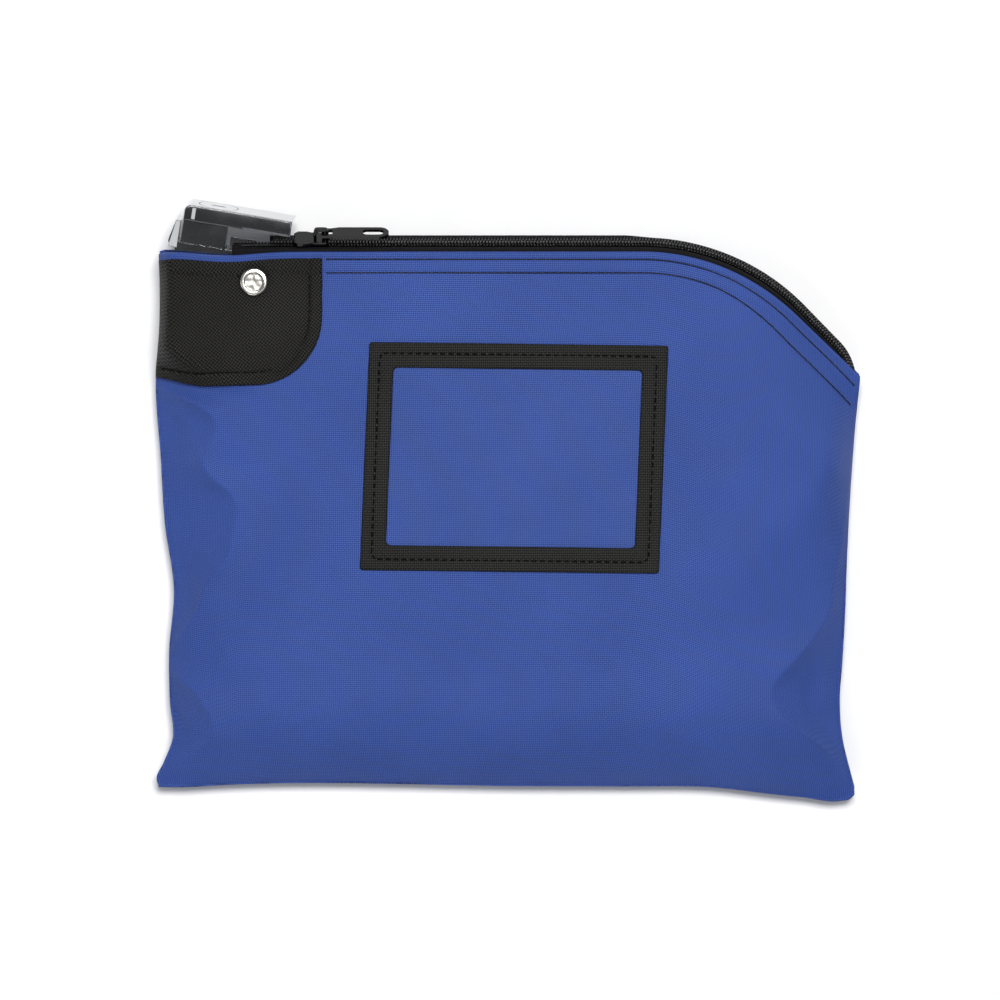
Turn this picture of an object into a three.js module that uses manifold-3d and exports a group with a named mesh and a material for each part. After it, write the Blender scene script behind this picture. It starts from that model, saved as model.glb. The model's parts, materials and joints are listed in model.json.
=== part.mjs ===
// A locking cash deposit bag: a flat pillow of laminated cloth, closed by a coil zipper that runs
// along the top and round one corner, with a pop-up key lock in the other corner.
//
// The bag lies on its back panel. X runs along the zipper, Y from the bottom seam to the zipper, and
// Z up out of the front panel. The origin is in the middle of the back panel's flat rest face.
import * as THREE from "three";
import { mergeVertices } from "three/addons/utils/BufferGeometryUtils.js";
import Module from "manifold-3d";

const wasm = await Module();
wasm.setup();

// ---------------------------------------------------------------- driving dimensions, millimetres

// The two cloth panels
const bagWidth = 279.4;
const bagHeight = 215.9; // bottom seam to the middle of the zipper chain
const crownRise = 5.2; // front panel's highest level above its hem
const clothThickness = 1;
const seamLevel = 7; // level of the side and bottom seams
const seamGap = 0.3; // between the two panels' rims
const waist = 4; // how far the side seams draw in at mid height
const waistReach = 0.86; // share of the height over which they do
const cornerRadius = 7;
const pillowRun = 0.33; // share of the way to the middle over which the front panel crowns
const backRun = 0.16; // the same for the back panel, which is flat beyond it
const lockBackRun = 0.3; // and for its hem behind the lock, which keeps off the rest face
const lockBackReach = 48.3; // lock's middle to where that hem starts
const lockBackFade = 20;
const lockCornerDrop = 70; // below the chain, where the lock's side starts to stand steep
const lockCornerFade = 35;
const lockCornerRun = 0.045;
const shoulderInset = 1.5; // step from the mouth's left end to the side seam
const shoulderDrop = 1.2;
const shoulderRun = 0.05;
const hemEase = 0.45; // share of the way in over which the crown rises above the hem
const crownPower = 2.2; // how steeply the panels rise from their seams
const seamSpread = 1.4; // how far a seam's rim spreads, for each millimetre of thickness

// The mouth: tape, chain, tape
const backHemLevel = 5;
const bandTilt = THREE.MathUtils.degToRad(57); // slope of the tape and the chain
const tapeSpare = 2; // front tape between the slider's nose and the hem
const tapeThickness = 0.6;
const tapeGap = 0.3; // between the tape and the coil
const frontHemGap = 0.6; // between the front tape and its hem
const backHemGap = 0.5; // between the back tape and its hem, in plan
const hemGap = 1; // and in level
const bendSpare = 0.8; // slider's nose to where the back tape turns in
const backHemInset = 2.5; // back hem, in from the chain's middle
const chainWidth = 5.8;
const chainThickness = 1.8;
const chainSplit = 1.2; // between the two coils, where the slider's post runs
const curveRadius = 90; // the zipper's round corner
const curveAngle = Math.PI / 4;
const diagonal = 20; // straight stretch after the round corner
const endRadius = 20; // turn into the side seam
const mouthTaper = 60; // length over which the mouth narrows to its end
const mouthEnd = 0.65; // share of the mouth's depth left at its end
const mouthFoot = 8; // right side seam's clear stretch under the mouth's end
const stopProud = 0.2; // end stop over the chain
const stopStart = 0.15; // share of the last stretch that the chain keeps

// Corner patches
const patchWidth = 66.5;
const patchDrop = 53; // below the hem
const patchCorner = 27;
const patchHem = 3.2; // the hem strip that stays clear above the patch
const patchThickness = 0.8;
const recessSpare = 0.7; // how far the back patch stays inside the rest face
const skinGap = 0.35; // between a sewn-on layer and the panel under it

// Card window
const windowCentre = new THREE.Vector2(2.6, 22.5);
const windowWidth = 118;
const windowHeight = 90;
const webbing = 10; // width of the frame's webbing
const windowTurn = THREE.MathUtils.degToRad(-0.6);
const webbingThickness = 0.9;
const filmThickness = 0.3;
const windowGap = 0.5; // between the front panel and the window's frame and film

// Lock, in its own frame: x along the head, y up out of the bag, z towards the front panel
const lockSpare = 5.4; // from the left side seam to the ear's foot
const lockDrop = 2.45; // lock's middle below the chain's middle
const lockFloor = 3.885; // housing's lowest edge above the rest face
const lockRoof = 1.827; // from the housing's front to the hem's level
const lockLean = THREE.MathUtils.degToRad(12);
const lockSkew = THREE.MathUtils.degToRad(-9.5);
const headLength = 43;
const headRim = 0.6; // head's wall beside the plug's face
const headHeight = 6.4;
const headLift = 9.5; // head's underside above the housing, popped up
const headRound = 3.2; // radius of the head's left end
const headBevel = 0.7;
const travel = 3.8; // head's way down when pressed
const housingSpare = 1.5; // housing beyond the head, at each end
const housingSide = 0.9; // wall beside the neck
const housingDrop = 18;
const housingWall = 1.2;
const neckWidth = 17.8;
const neckWall = 0.3; // beside the plug's bore
const neckCentre = -12.4;
const neckTail = 6; // neck below the housing's mouth when popped up
const slide = 0.3; // clearance between sliding pieces
const housingEnd = 0.5; // housing's right end, short of its full length
const earGap = 0.6; // between the head's round end and the ear
const earTop = 2; // ear's width at its top
const earDrop = 0.8; // ear's top under the head's underside
const earReach = 3; // ear's foot beyond the housing
const earFoot = [0.8, -0.6, -1.4]; // levels of the foot's three corners
const tongueGap = 1; // from the well to the tongue
const tongueFront = -0.9;
const tongueBack = 0.1; // tongue's back, in from the housing's
const plugCentre = -8.7;
const plugRadius = 4;
const plugFaceRadius = 7.6;
const plugFaceThickness = 1.2;
const plugFoot = 1.2; // level of the shank's lower end
const plugTail = 1.4; // radius of the stub that turns the cam
const plugTailFoot = 0.2;
const boreFoot = 0.9; // level where the plug's bore ends
const keywayLength = 5.4;
const keywayWidth = 1.3;
const keywayDepth = 11;
const camRadius = 2.9;
const camThickness = 1.2;
const camLevel = -1.3; // cam's underside
const camWellLevel = -1.7;
const camWellHeight = 4;
const crankRadius = 1.8; // cam pin's distance from the plug's axis
const crankPinRadius = 0.7;
const crankPinFoot = -4.2;
const crankPinLength = 3.4;
const crankWayLevel = -4;
const crankWayHeight = 3.2;
const boltWidth = 5;
const boltHeight = 2.4;
const boltNose = 1.6; // how far the bolt stands out of the neck
const boltLevel = -5; // bolt's underside
const boltFront = 1.2; // bolt's front end
const boltPlay = 0.25; // round the cam's pin
const boltWindowSide = 0.5; // housing's window beside, under and over the bolt
const boltWindowUnder = 0.8;
const boltWindowOver = 0.6;
const pinCount = 5;
const pinPitch = 2.2;
const pinRadius = 0.75;
const pinLength = 3;
const pinLevel = 2.2; // lowest pin's axis
const pinClearance = 0.2;
const pinEnd = 0.15; // key pins end that much inside the plug's surface
const keyPinInner = 1.4; // key pins' inner ends, from the plug's axis
const pinHoleSpare = 1.6; // hole beyond a driver pin, where its spring goes
const springRadius = 3.2;
const springWire = 0.7;
const springTurns = 5;
const pocketDepth = 5.1; // hollow under the head that takes the slider
const pocketLength = 17;
const pocketWall = 2; // between the pocket and the head's end
const pocketSpare = 1.2; // beside the slider's nose
const throatSpare = 0.5; // beside its waist, in the notch of the head's end
const cheekRaise = 1.4; // head's end above its underside, beside the notch
const tongueLength = 10.5;
const tongueHeight = 4.5;

// Slider and pull
const sliderLength = 14;
const sliderFlange = 1; // beside the tunnel for the chain
const sliderFlare = 0.8; // nose beyond the waist, at each side
const noseChamfer = 1.6;
const noseLength = 5; // wide part of the slider
const waistStart = 7; // nose's end to where the waist is reached
const tailChamfer = 1;
const postStart = 1; // post between the coils, from the nose's end
const postLength = 4;
const postThickness = 0.6;
const sliderPlate = 1;
const sliderGap = 0.3;
const tapeSlot = 0.7; // half height left for the tape between the flanges
const sliderRest = 1; // gap from the head's end to the slider's nose at rest
const chainFromLock = 2.3; // start of the front coil, from the lock's middle
const chainFromTongue = 1.2; // start of the back coil, from the tongue's end
const bailWidth = 2.6;
const bailThickness = 1.2;
const bailRise = 3.9;
const bailLength = 6;
const bailRound = 1.8;
const bailInnerRound = 0.6;
const bailStart = 0.9; // bail's left leg, right of the slider's middle
const pullLength = 26;
const pullWidth = 7.5;
const pullThickness = 1.2;
const pullHole = 8.5;
const pullHoleWidth = 4;
const pullHoleInset = 0.2; // hole's round end, in from the tab's
const pullTaper = 3; // from the eye's width to the tab's
const eyeBar = 1.2; // cross bar of the pull that runs under the bail
const eyeLength = 3.1; // window beside it
const eyeArm = 1.3; // width of the window's sides
const eyePlay = 1; // cross bar's middle to the bail's inner faces

// Rivets
const rivetAcross = 8.2; // right of the lock's middle
const rivetDown = 13.6; // below it
const rivetRadius = 5.4;
const rivetShank = 1.9;
const rivetHead = 1.1;
const rivetBackHead = 0.7;
const rivetEdge = 0.7; // width of the head's sloping edge
const rivetLip = 0.8; // width of its raised ring
const rivetDish = 0.4; // width of the slope into the sunk middle
const rivetSkirt = 0.55; // share of the head's thickness at its edge
const rivetFloor = 0.6; // and at its sunk middle
const rivetReach = 2.2; // shank inside the housing
const rivetClearance = 0.35;

const sunk = 0.2; // how far joined shapes run into each other
const through = 1; // how far a cut runs past the face that it opens

// ---------------------------------------------------------------- solids and meshes

// Turns a closed geometry into a manifold-3d solid.
function solidOf(geometry) {
  const bare = geometry.clone();
  bare.deleteAttribute("normal");
  bare.deleteAttribute("uv");
  const merged = mergeVertices(bare, 1e-4);
  return new wasm.Manifold(
    new wasm.Mesh({
      numProp: 3,
      vertProperties: new Float32Array(merged.attributes.position.array),
      triVerts: new Uint32Array(merged.index.array),
    }),
  );
}

// Turns a solid back into a geometry.
function geometryOf(solid) {
  const mesh = solid.getMesh();
  const geometry = new THREE.BufferGeometry();
  geometry.setAttribute("position", new THREE.BufferAttribute(mesh.vertProperties, 3));
  geometry.setIndex(new THREE.BufferAttribute(mesh.triVerts, 1));
  geometry.computeVertexNormals();
  return geometry;
}

// A base shape with some shapes joined on and some cut away.
function carve(base, { join = [], cut = [] }) {
  let solid = solidOf(base);
  for (const extra of join) solid = solid.add(solidOf(extra));
  for (const hollow of cut) solid = solid.subtract(solidOf(hollow));
  return geometryOf(solid);
}

// A block between two corners.
function block(low, high) {
  const size = high.map((value, axis) => value - low[axis]);
  const geometry = new THREE.BoxGeometry(...size);
  return geometry.translate(...low.map((value, axis) => value + size[axis] / 2));
}

// A round bar along Y with its lower end at the given point.
function bar(radius, length, x, y, z, sides = 32) {
  return new THREE.CylinderGeometry(radius, radius, length, sides).translate(x, y + length / 2, z);
}

// A finish for one sub-part.
function finish(colour, roughness, metalness = 0) {
  return new THREE.MeshStandardMaterial({ color: colour, roughness, metalness });
}

const cloth = finish("#4159a2", 0.55);
const ballistic = finish("#303032", 0.8);
const coilPlastic = finish("#2a2a2c", 0.5);
const blackMetal = finish("#1c1c1e", 0.35, 0.6);
const chrome = finish("#d6d8da", 0.12, 1);
const steel = finish("#a8abae", 0.35, 1);
const brassPin = finish("#b89a55", 0.35, 1);
const vinyl = new THREE.MeshStandardMaterial({
  color: "#dfe6f2",
  roughness: 0.15,
  transparent: true,
  opacity: 0.2,
});

// A named sub-part.
function piece(name, geometry, material) {
  const mesh = new THREE.Mesh(geometry, material);
  mesh.name = name;
  return mesh;
}

// Closes a row of matching outlines into one solid: each outline is a list of Vector3.
// A looped row comes back to its first outline, and an open one gets two end caps.
function loft(outlines, looped = false) {
  const count = outlines[0].length;
  const points = outlines.flat();
  const faces = [];
  const rows = looped ? outlines.length : outlines.length - 1;
  for (let row = 0; row < rows; row += 1) {
    const here = row * count;
    const there = ((row + 1) % outlines.length) * count;
    for (let at = 0; at < count; at += 1) {
      const next = (at + 1) % count;
      faces.push(here + at, here + next, there + next, here + at, there + next, there + at);
    }
  }
  if (looped) {
    const ring = new THREE.BufferGeometry().setFromPoints(points);
    ring.setIndex(faces);
    return outward(ring);
  }
  const last = (outlines.length - 1) * count;
  const cap = THREE.ShapeUtils.triangulateShape(flatten(outlines[0]), []);
  const endCap = THREE.ShapeUtils.triangulateShape(flatten(outlines[outlines.length - 1]), []);
  for (const [a, b, c] of cap) faces.push(a, c, b);
  for (const [a, b, c] of endCap) faces.push(last + a, last + b, last + c);
  const geometry = new THREE.BufferGeometry().setFromPoints(points);
  geometry.setIndex(faces);
  return outward(geometry);
}

// The outline in the plane that it lies in.
function flatten(outline) {
  const origin = outline[0];
  const along = outline[1].clone().sub(origin).normalize();
  const normal = new THREE.Vector3();
  outline.forEach((point, at) => {
    const next = outline[(at + 1) % outline.length];
    normal.add(point.clone().sub(origin).cross(next.clone().sub(origin)));
  });
  const across = normal.normalize().clone().cross(along);
  return outline.map((point) => {
    const arm = point.clone().sub(origin);
    return new THREE.Vector2(arm.dot(along), arm.dot(across));
  });
}

// Turns the faces round where they point inwards.
function outward(geometry) {
  const at = geometry.attributes.position;
  const faces = Array.from(geometry.index.array);
  const corner = (index) => new THREE.Vector3().fromBufferAttribute(at, index);
  let volume = 0;
  for (let f = 0; f < faces.length; f += 3) {
    volume += corner(faces[f]).dot(corner(faces[f + 1]).cross(corner(faces[f + 2])));
  }
  if (volume < 0) {
    for (let f = 0; f < faces.length; f += 3) {
      [faces[f + 1], faces[f + 2]] = [faces[f + 2], faces[f + 1]];
    }
    geometry.setIndex(faces);
  }
  return geometry;
}

const smooth = (value) => THREE.MathUtils.smoothstep(value, 0, 1);
const crowned = (value) => 1 - (1 - THREE.MathUtils.clamp(value, 0, 1)) ** crownPower;

// ---------------------------------------------------------------- sizes that follow from others

const seamX = bagWidth / 2;
const bottomY = -bagHeight / 2;
const chainY = bagHeight / 2;
const bandOut = Math.cos(bandTilt);
const bandDown = Math.sin(bandTilt);
const sliderWaist = chainWidth + 2 * (sliderGap + sliderFlange);
const sliderNose = sliderWaist + 2 * sliderFlare;
const tapeReach = sliderNose / 2 + tapeSpare; // chain's middle to the front hem
const backBend = sliderNose / 2 + bendSpare; // chain's middle to the back tape's bend
const neckDepth = 2 * (plugRadius + slide + neckWall);
const housingLength = headLength + 2 * housingSpare;
const housingDepth = neckDepth + 2 * (slide + housingSide);
const headDepth = 2 * (plugFaceRadius + slide + headRim);
const lockReach = (housingDepth / 2) * Math.cos(lockLean); // half the housing, upright
const lockLevel = lockFloor + lockReach + housingDrop * Math.sin(lockLean);
const hemLevel = lockLevel + lockReach + lockRoof;
const crownHeight = hemLevel + crownRise;
const hemInset = tapeReach * bandOut;
const hemY = chainY - hemInset;
const chainLevel = hemLevel - tapeReach * bandDown;
const lockX = -seamX + lockSpare + earReach + housingLength / 2;
const lockPlace = new THREE.Vector3(lockX, chainY - lockDrop, lockLevel);
const rivetPlace = new THREE.Vector2(lockPlace.x + rivetAcross, lockPlace.y - rivetDown);

// ---------------------------------------------------------------- the zipper's path

const pathEndX = seamX - chainWidth / 2;
const curveStartX =
  pathEndX -
  curveRadius * Math.sin(curveAngle) -
  diagonal * Math.cos(curveAngle) -
  endRadius * (1 - Math.sin(curveAngle));

// Stations of the chain's middle line from a start on the straight stretch to the side seam.
// A station has a place in plan, the direction out of the bag, and the mouth's share of depth.
function mouthStations(startX) {
  const stations = [];
  const straightSteps = 16;
  for (let step = 0; step < straightSteps; step += 1) {
    const x = THREE.MathUtils.lerp(startX, curveStartX, step / straightSteps);
    stations.push({ x, y: chainY, turn: 0 });
  }
  const curveSteps = 14;
  for (let step = 0; step <= curveSteps; step += 1) {
    const turn = (curveAngle * step) / curveSteps;
    const x = curveStartX + curveRadius * Math.sin(turn);
    stations.push({ x, y: chainY - curveRadius * (1 - Math.cos(turn)), turn });
  }
  const knee = stations[stations.length - 1];
  const endX = knee.x + diagonal * Math.cos(curveAngle);
  const endY = knee.y - diagonal * Math.sin(curveAngle);
  const endSteps = 6;
  for (let step = 0; step <= endSteps; step += 1) {
    const turn = curveAngle + ((Math.PI / 2 - curveAngle) * step) / endSteps;
    stations.push({
      x: endX + endRadius * (Math.sin(turn) - Math.sin(curveAngle)),
      y: endY - endRadius * (Math.cos(curveAngle) - Math.cos(turn)),
      turn,
    });
  }
  let left = 0;
  for (let at = stations.length - 1; at >= 0; at -= 1) {
    const here = stations[at];
    const after = stations[at + 1] ?? here;
    left += Math.hypot(here.x - after.x, here.y - after.y);
    here.share = THREE.MathUtils.lerp(mouthEnd, 1, smooth(left / mouthTaper));
    here.level = THREE.MathUtils.lerp(seamLevel, chainLevel, smooth(left / mouthTaper));
  }
  return stations;
}

// A point of the mouth's band: out from the chain's middle in plan, and up from its level.
function bandPoint(station, out, up) {
  return new THREE.Vector3(
    station.x + out * Math.sin(station.turn),
    station.y + out * Math.cos(station.turn),
    station.level + up,
  );
}

// A point in the chain's own plane: across it, positive towards the back, and along its normal.
function chainPoint(station, across, lift) {
  const out = across * bandOut + lift * bandDown;
  return bandPoint(station, out, -across * bandDown + lift * bandOut);
}

// ---------------------------------------------------------------- the panels

// Half width of the bag at a height.
const sideX = (y) => {
  const middle = (y - bottomY) / (bagHeight * waistReach);
  return seamX - waist * Math.sin(Math.PI * THREE.MathUtils.clamp(middle, 0, 1)) ** 2;
};

// The rim of a panel, anticlockwise from the mouth's right end: place, level and crown run.
// The lock's corner crowns within a short run, because the housing fills it.
function rim(front) {
  const side = front ? 1 : -1;
  const seam = seamLevel + (side * seamGap) / 2;
  const run = front ? pillowRun : backRun;
  const points = [];
  const mouth = mouthStations(-seamX + cornerRadius).reverse();
  for (const station of mouth) {
    const out = front ? -hemInset * station.share : -backHemInset * station.share;
    const up = front
      ? tapeReach * bandDown * station.share
      : -(chainLevel - backHemLevel) * station.share;
    const at = bandPoint(station, out, up);
    const behindLock = front ? 0 : smooth((lockPlace.x + lockBackReach - at.x) / lockBackFade);
    const hemRun = THREE.MathUtils.lerp(run, lockBackRun, behindLock);
    points.push({ x: at.x, y: at.y, z: at.z, run: hemRun, mouth: true });
  }
  const top = points[points.length - 1];
  const cornerTop = top.y - cornerRadius;
  points.push({
    x: -seamX + shoulderInset,
    y: top.y - shoulderDrop,
    z: (top.z + seam) / 2,
    run: shoulderRun,
  });
  const sideSteps = 16;
  for (let step = 0; step <= sideSteps; step += 1) {
    const y = THREE.MathUtils.lerp(cornerTop, bottomY + cornerRadius, step / sideSteps);
    const held = smooth((y - (chainY - lockCornerDrop)) / lockCornerFade);
    points.push({ x: -sideX(y), y, z: seam, run: THREE.MathUtils.lerp(run, lockCornerRun, held) });
  }
  points.push(...corner(-1, seam, run));
  const bottomSteps = 18;
  for (let step = 1; step < bottomSteps; step += 1) {
    const x = THREE.MathUtils.lerp(-seamX + cornerRadius, seamX - cornerRadius, step / bottomSteps);
    points.push({ x, y: bottomY, z: seam, run });
  }
  points.push(...corner(1, seam, run));
  const rightSteps = 12;
  for (let step = 0; step <= rightSteps; step += 1) {
    const topY = points[0].y - mouthFoot;
    const y = THREE.MathUtils.lerp(bottomY + cornerRadius, topY, step / rightSteps);
    points.push({ x: sideX(y), y, z: seam, run });
  }
  return points;
}

// A rounded bottom corner, in the order that the rim runs.
function corner(side, seam, run) {
  const points = [];
  const steps = 4;
  for (let step = 1; step <= steps; step += 1) {
    const turn = ((side < 0 ? step : steps - step) / steps) * (Math.PI / 2);
    points.push({
      x: side * (seamX - cornerRadius * (1 - Math.cos(turn))),
      y: bottomY + cornerRadius * (1 - Math.sin(turn)),
      z: seam,
      run,
    });
  }
  if (side > 0) {
    points.unshift({ x: seamX - cornerRadius, y: bottomY, z: seam, run });
    points.pop();
  }
  return points;
}

// How far the back panel's corner is pressed in, so that its patch doesn't stand below the rest face.
function patchRecess(x, y) {
  const fade = 14;
  const across = smooth((-seamX + patchWidth + fade - x) / fade);
  const down = smooth((y - hemY + patchDrop + fade) / fade);
  return (skinGap + patchThickness + recessSpare) * across * down;
}

// Level of a panel at a share of the way from its rim point to the middle.
function panelLevel(front, point, share) {
  const rise = crowned(share / point.run);
  if (!front) {
    const keep = 1 - share;
    return point.z * (1 - rise) + patchRecess(point.x * keep, point.y * keep) * rise;
  }
  const top = THREE.MathUtils.lerp(hemLevel, crownHeight, smooth(share / hemEase));
  return THREE.MathUtils.lerp(point.z, top, rise);
}

const rings = [0, 0.02, 0.045, 0.08, 0.13, 0.2, 0.3, 0.42, 0.56, 0.75];

// The outer surface of a panel: rings of points from the rim inwards, and the middle point last.
function panelSurface(front) {
  const edge = rim(front);
  const points = [];
  for (const share of rings) {
    for (const point of edge) {
      const keep = 1 - share;
      points.push(
        new THREE.Vector3(point.x * keep, point.y * keep, panelLevel(front, point, share)),
      );
    }
  }
  points.push(new THREE.Vector3(0, 0, front ? crownHeight : 0));
  const faces = [];
  const count = edge.length;
  for (let ring = 0; ring < rings.length; ring += 1) {
    for (let at = 0; at < count; at += 1) {
      const a = ring * count + at;
      const b = ring * count + ((at + 1) % count);
      if (ring === rings.length - 1) {
        faces.push(a, b, points.length - 1);
      } else {
        faces.push(a, b, b + count, a, b + count, a + count);
      }
    }
  }
  if (!front) faces.reverse();
  const geometry = new THREE.BufferGeometry().setFromPoints(points);
  geometry.setIndex(faces);
  geometry.computeVertexNormals();
  return { edge, points, faces, normals: geometry.attributes.normal };
}

// A layer between two distances out from a panel's surface. A seam's rim stays level.
function layer(surface, low, high, levelRim) {
  const { edge, points, faces, normals } = surface;
  const offset = (distance) =>
    points.map((point, at) => {
      const normal = new THREE.Vector3().fromBufferAttribute(normals, at);
      const onSeam = at < edge.length && !edge[at].mouth;
      if (levelRim && onSeam) {
        normal.set(point.x, point.y, 0).normalize().multiplyScalar(seamSpread);
      }
      return point.clone().addScaledVector(normal, distance);
    });
  const all = [...offset(high), ...offset(low)];
  const under = points.length;
  const closed = [...faces];
  for (let f = 0; f < faces.length; f += 3) {
    closed.push(under + faces[f], under + faces[f + 2], under + faces[f + 1]);
  }
  const flip = normals.getZ(points.length - 1) < 0;
  for (let at = 0; at < edge.length; at += 1) {
    const next = (at + 1) % edge.length;
    const quad = [at, under + at, under + next, at, under + next, next];
    closed.push(...(flip ? quad.reverse() : quad));
  }
  const geometry = new THREE.BufferGeometry().setFromPoints(all);
  geometry.setIndex(closed);
  return outward(geometry);
}

// An upright prism over an outline in plan, tall enough to pass through the bag.
function prism(shape) {
  const options = { depth: crownHeight * 4, bevelEnabled: false, curveSegments: 12 };
  return new THREE.ExtrudeGeometry(shape, options).translate(0, 0, -crownHeight);
}

const frontSurface = panelSurface(true);
const backSurface = panelSurface(false);

// A sewn-on layer of a given outline, at a gap from the panel under it.
function sewnOn(surface, shape, gap, thickness, cuts) {
  let solid = solidOf(layer(surface, gap, gap + thickness, false)).intersect(solidOf(prism(shape)));
  for (const hollow of cuts) solid = solid.subtract(solidOf(hollow));
  const parts = solid.decompose().sort((a, b) => b.volume() - a.volume());
  return geometryOf(parts[0]);
}

// ---------------------------------------------------------------- rivets: places and holes

const patchStack = skinGap + patchThickness;

// A hole through the bag where a rivet's shank passes.
function rivetHole(radius) {
  return new THREE.CylinderGeometry(radius, radius, crownHeight * 4, 24)
    .rotateX(Math.PI / 2)
    .translate(rivetPlace.x, rivetPlace.y, 0);
}

// Level of a panel's outer surface over a point in plan.
function levelAt(surface, x, y) {
  const geometry = new THREE.BufferGeometry().setFromPoints(surface.points);
  geometry.setIndex(surface.faces);
  const mesh = new THREE.Mesh(geometry, new THREE.MeshBasicMaterial({ side: THREE.DoubleSide }));
  mesh.updateMatrixWorld(true);
  const down = new THREE.Raycaster(new THREE.Vector3(x, y, 200), new THREE.Vector3(0, 0, -1));
  return down.intersectObject(mesh)[0].point.z;
}

// Highest level of a panel under a rivet's head, on the head's side of the panel.
function levelUnderHead(surface, side) {
  const levels = [];
  for (let step = 0; step < 8; step += 1) {
    const turn = (step * Math.PI) / 4;
    const x = rivetPlace.x + rivetRadius * Math.cos(turn);
    const y = rivetPlace.y + rivetRadius * Math.sin(turn);
    levels.push(side * levelAt(surface, x, y));
  }
  return side * Math.max(...levels);
}

// A cloth panel with the hole for its rivet.
function panel(front) {
  const surface = front ? frontSurface : backSurface;
  const skin = layer(surface, -clothThickness, 0, true);
  return carve(skin, { cut: [rivetHole(rivetShank + rivetClearance)] });
}

// A corner patch: square at the seam, with one large round corner.
function patchShape() {
  const right = -seamX + patchWidth;
  const top = hemY - patchHem;
  const bottom = hemY - patchDrop;
  const left = -seamX - waist;
  const shape = new THREE.Shape();
  shape.moveTo(left, bottom);
  shape.lineTo(right - patchCorner, bottom);
  shape.absarc(right - patchCorner, bottom + patchCorner, patchCorner, -Math.PI / 2, 0, false);
  shape.lineTo(right, top);
  shape.lineTo(left, top);
  return shape;
}

// The patch, sewn on over its panel.
function patch(front) {
  const surface = front ? frontSurface : backSurface;
  const cuts = [rivetHole(rivetShank + rivetClearance)];
  return sewnOn(surface, patchShape(), skinGap, patchThickness, cuts);
}

// A point of the card window, from its own middle, and its level over the front panel.
function windowPoint(x, y, lift) {
  const at = new THREE.Vector2(x, y).rotateAround(new THREE.Vector2(), windowTurn);
  at.add(windowCentre);
  return new THREE.Vector3(at.x, at.y, levelAt(frontSurface, at.x, at.y) + windowGap + lift);
}

// The webbing frame: four mitred strips in one piece, lying on the front panel.
function windowFrame() {
  const corners = [
    [-1, -1],
    [1, -1],
    [1, 1],
    [-1, 1],
  ];
  const steps = 16;
  const outlines = [];
  corners.forEach(([fromX, fromY], side) => {
    const [toX, toY] = corners[(side + 1) % corners.length];
    for (let step = 0; step < steps; step += 1) {
      const share = step / steps;
      const x = THREE.MathUtils.lerp(fromX, toX, share);
      const y = THREE.MathUtils.lerp(fromY, toY, share);
      const point = (edge, lift) =>
        windowPoint(x * (windowWidth / 2 - edge), y * (windowHeight / 2 - edge), lift);
      outlines.push([
        point(webbing, 0),
        point(0, 0),
        point(0, webbingThickness),
        point(webbing, webbingThickness),
      ]);
    }
  });
  return loft(outlines, true);
}

// The clear film inside the frame.
function windowFilm() {
  const halfWide = windowWidth / 2 - webbing - skinGap;
  const halfHigh = windowHeight / 2 - webbing - skinGap;
  const columns = [-1, -0.75, -0.5, -0.25, 0, 0.25, 0.5, 0.75, 1];
  return loft(
    columns.map((y) => {
      const row = (lift) => columns.map((x) => windowPoint(x * halfWide, y * halfHigh, lift));
      return [...row(0), ...row(filmThickness).reverse()];
    }),
  );
}

// A rivet: a domed head outside the patch and a shank that ends inside the lock housing.
function rivet(front) {
  const side = front ? 1 : -1;
  const surface = front ? frontSurface : backSurface;
  const seat = levelUnderHead(surface, side) + side * (patchStack + skinGap);
  const inner = lockFace(front) - side * rivetReach;
  const length = Math.abs(seat - inner);
  const head = front ? rivetHead : rivetBackHead;
  const profile = [
    new THREE.Vector2(0, -length),
    new THREE.Vector2(rivetShank, -length),
    new THREE.Vector2(rivetShank, 0),
    new THREE.Vector2(rivetRadius, 0),
    new THREE.Vector2(rivetRadius, head * rivetSkirt),
    new THREE.Vector2(rivetRadius - rivetEdge, head),
    new THREE.Vector2(rivetRadius - rivetEdge - rivetLip, head),
    new THREE.Vector2(rivetRadius - rivetEdge - rivetLip - rivetDish, head * rivetFloor),
    new THREE.Vector2(0, head * rivetFloor),
  ];
  const geometry = new THREE.LatheGeometry(profile, 32);
  geometry.rotateX((side * Math.PI) / 2);
  return outward(indexed(geometry.translate(rivetPlace.x, rivetPlace.y, seat)));
}

// A lathed shape with its seam closed.
function indexed(geometry) {
  geometry.deleteAttribute("normal");
  geometry.deleteAttribute("uv");
  return mergeVertices(geometry, 1e-4);
}

// ---------------------------------------------------------------- zipper

const headEnd =
  lockPlace.x + (headLength / 2) * Math.cos(lockSkew) - (headDepth / 2) * Math.sin(lockSkew);
const sliderCentre = headEnd + sliderRest + sliderLength / 2;
const frontChainStart = lockPlace.x + chainFromLock;
const backChainStart = frontChainStart + tongueLength + chainFromTongue;

// A strip that follows the mouth, with its outline given at each station.
function alongMouth(startX, outlineAt) {
  return loft(mouthStations(startX).map(outlineAt));
}

// One of the chain's two coils, as a plain strip.
function coil(front) {
  const side = front ? -1 : 1;
  const half = chainThickness / 2;
  const inner = (side * chainSplit) / 2;
  const outer = (side * chainWidth) / 2;
  const stations = mouthStations(front ? frontChainStart : backChainStart).slice(0, -1);
  return loft(
    stations.map((station) => [
      chainPoint(station, inner, -half),
      chainPoint(station, outer, -half),
      chainPoint(station, outer, half),
      chainPoint(station, inner, half),
    ]),
  );
}

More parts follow.
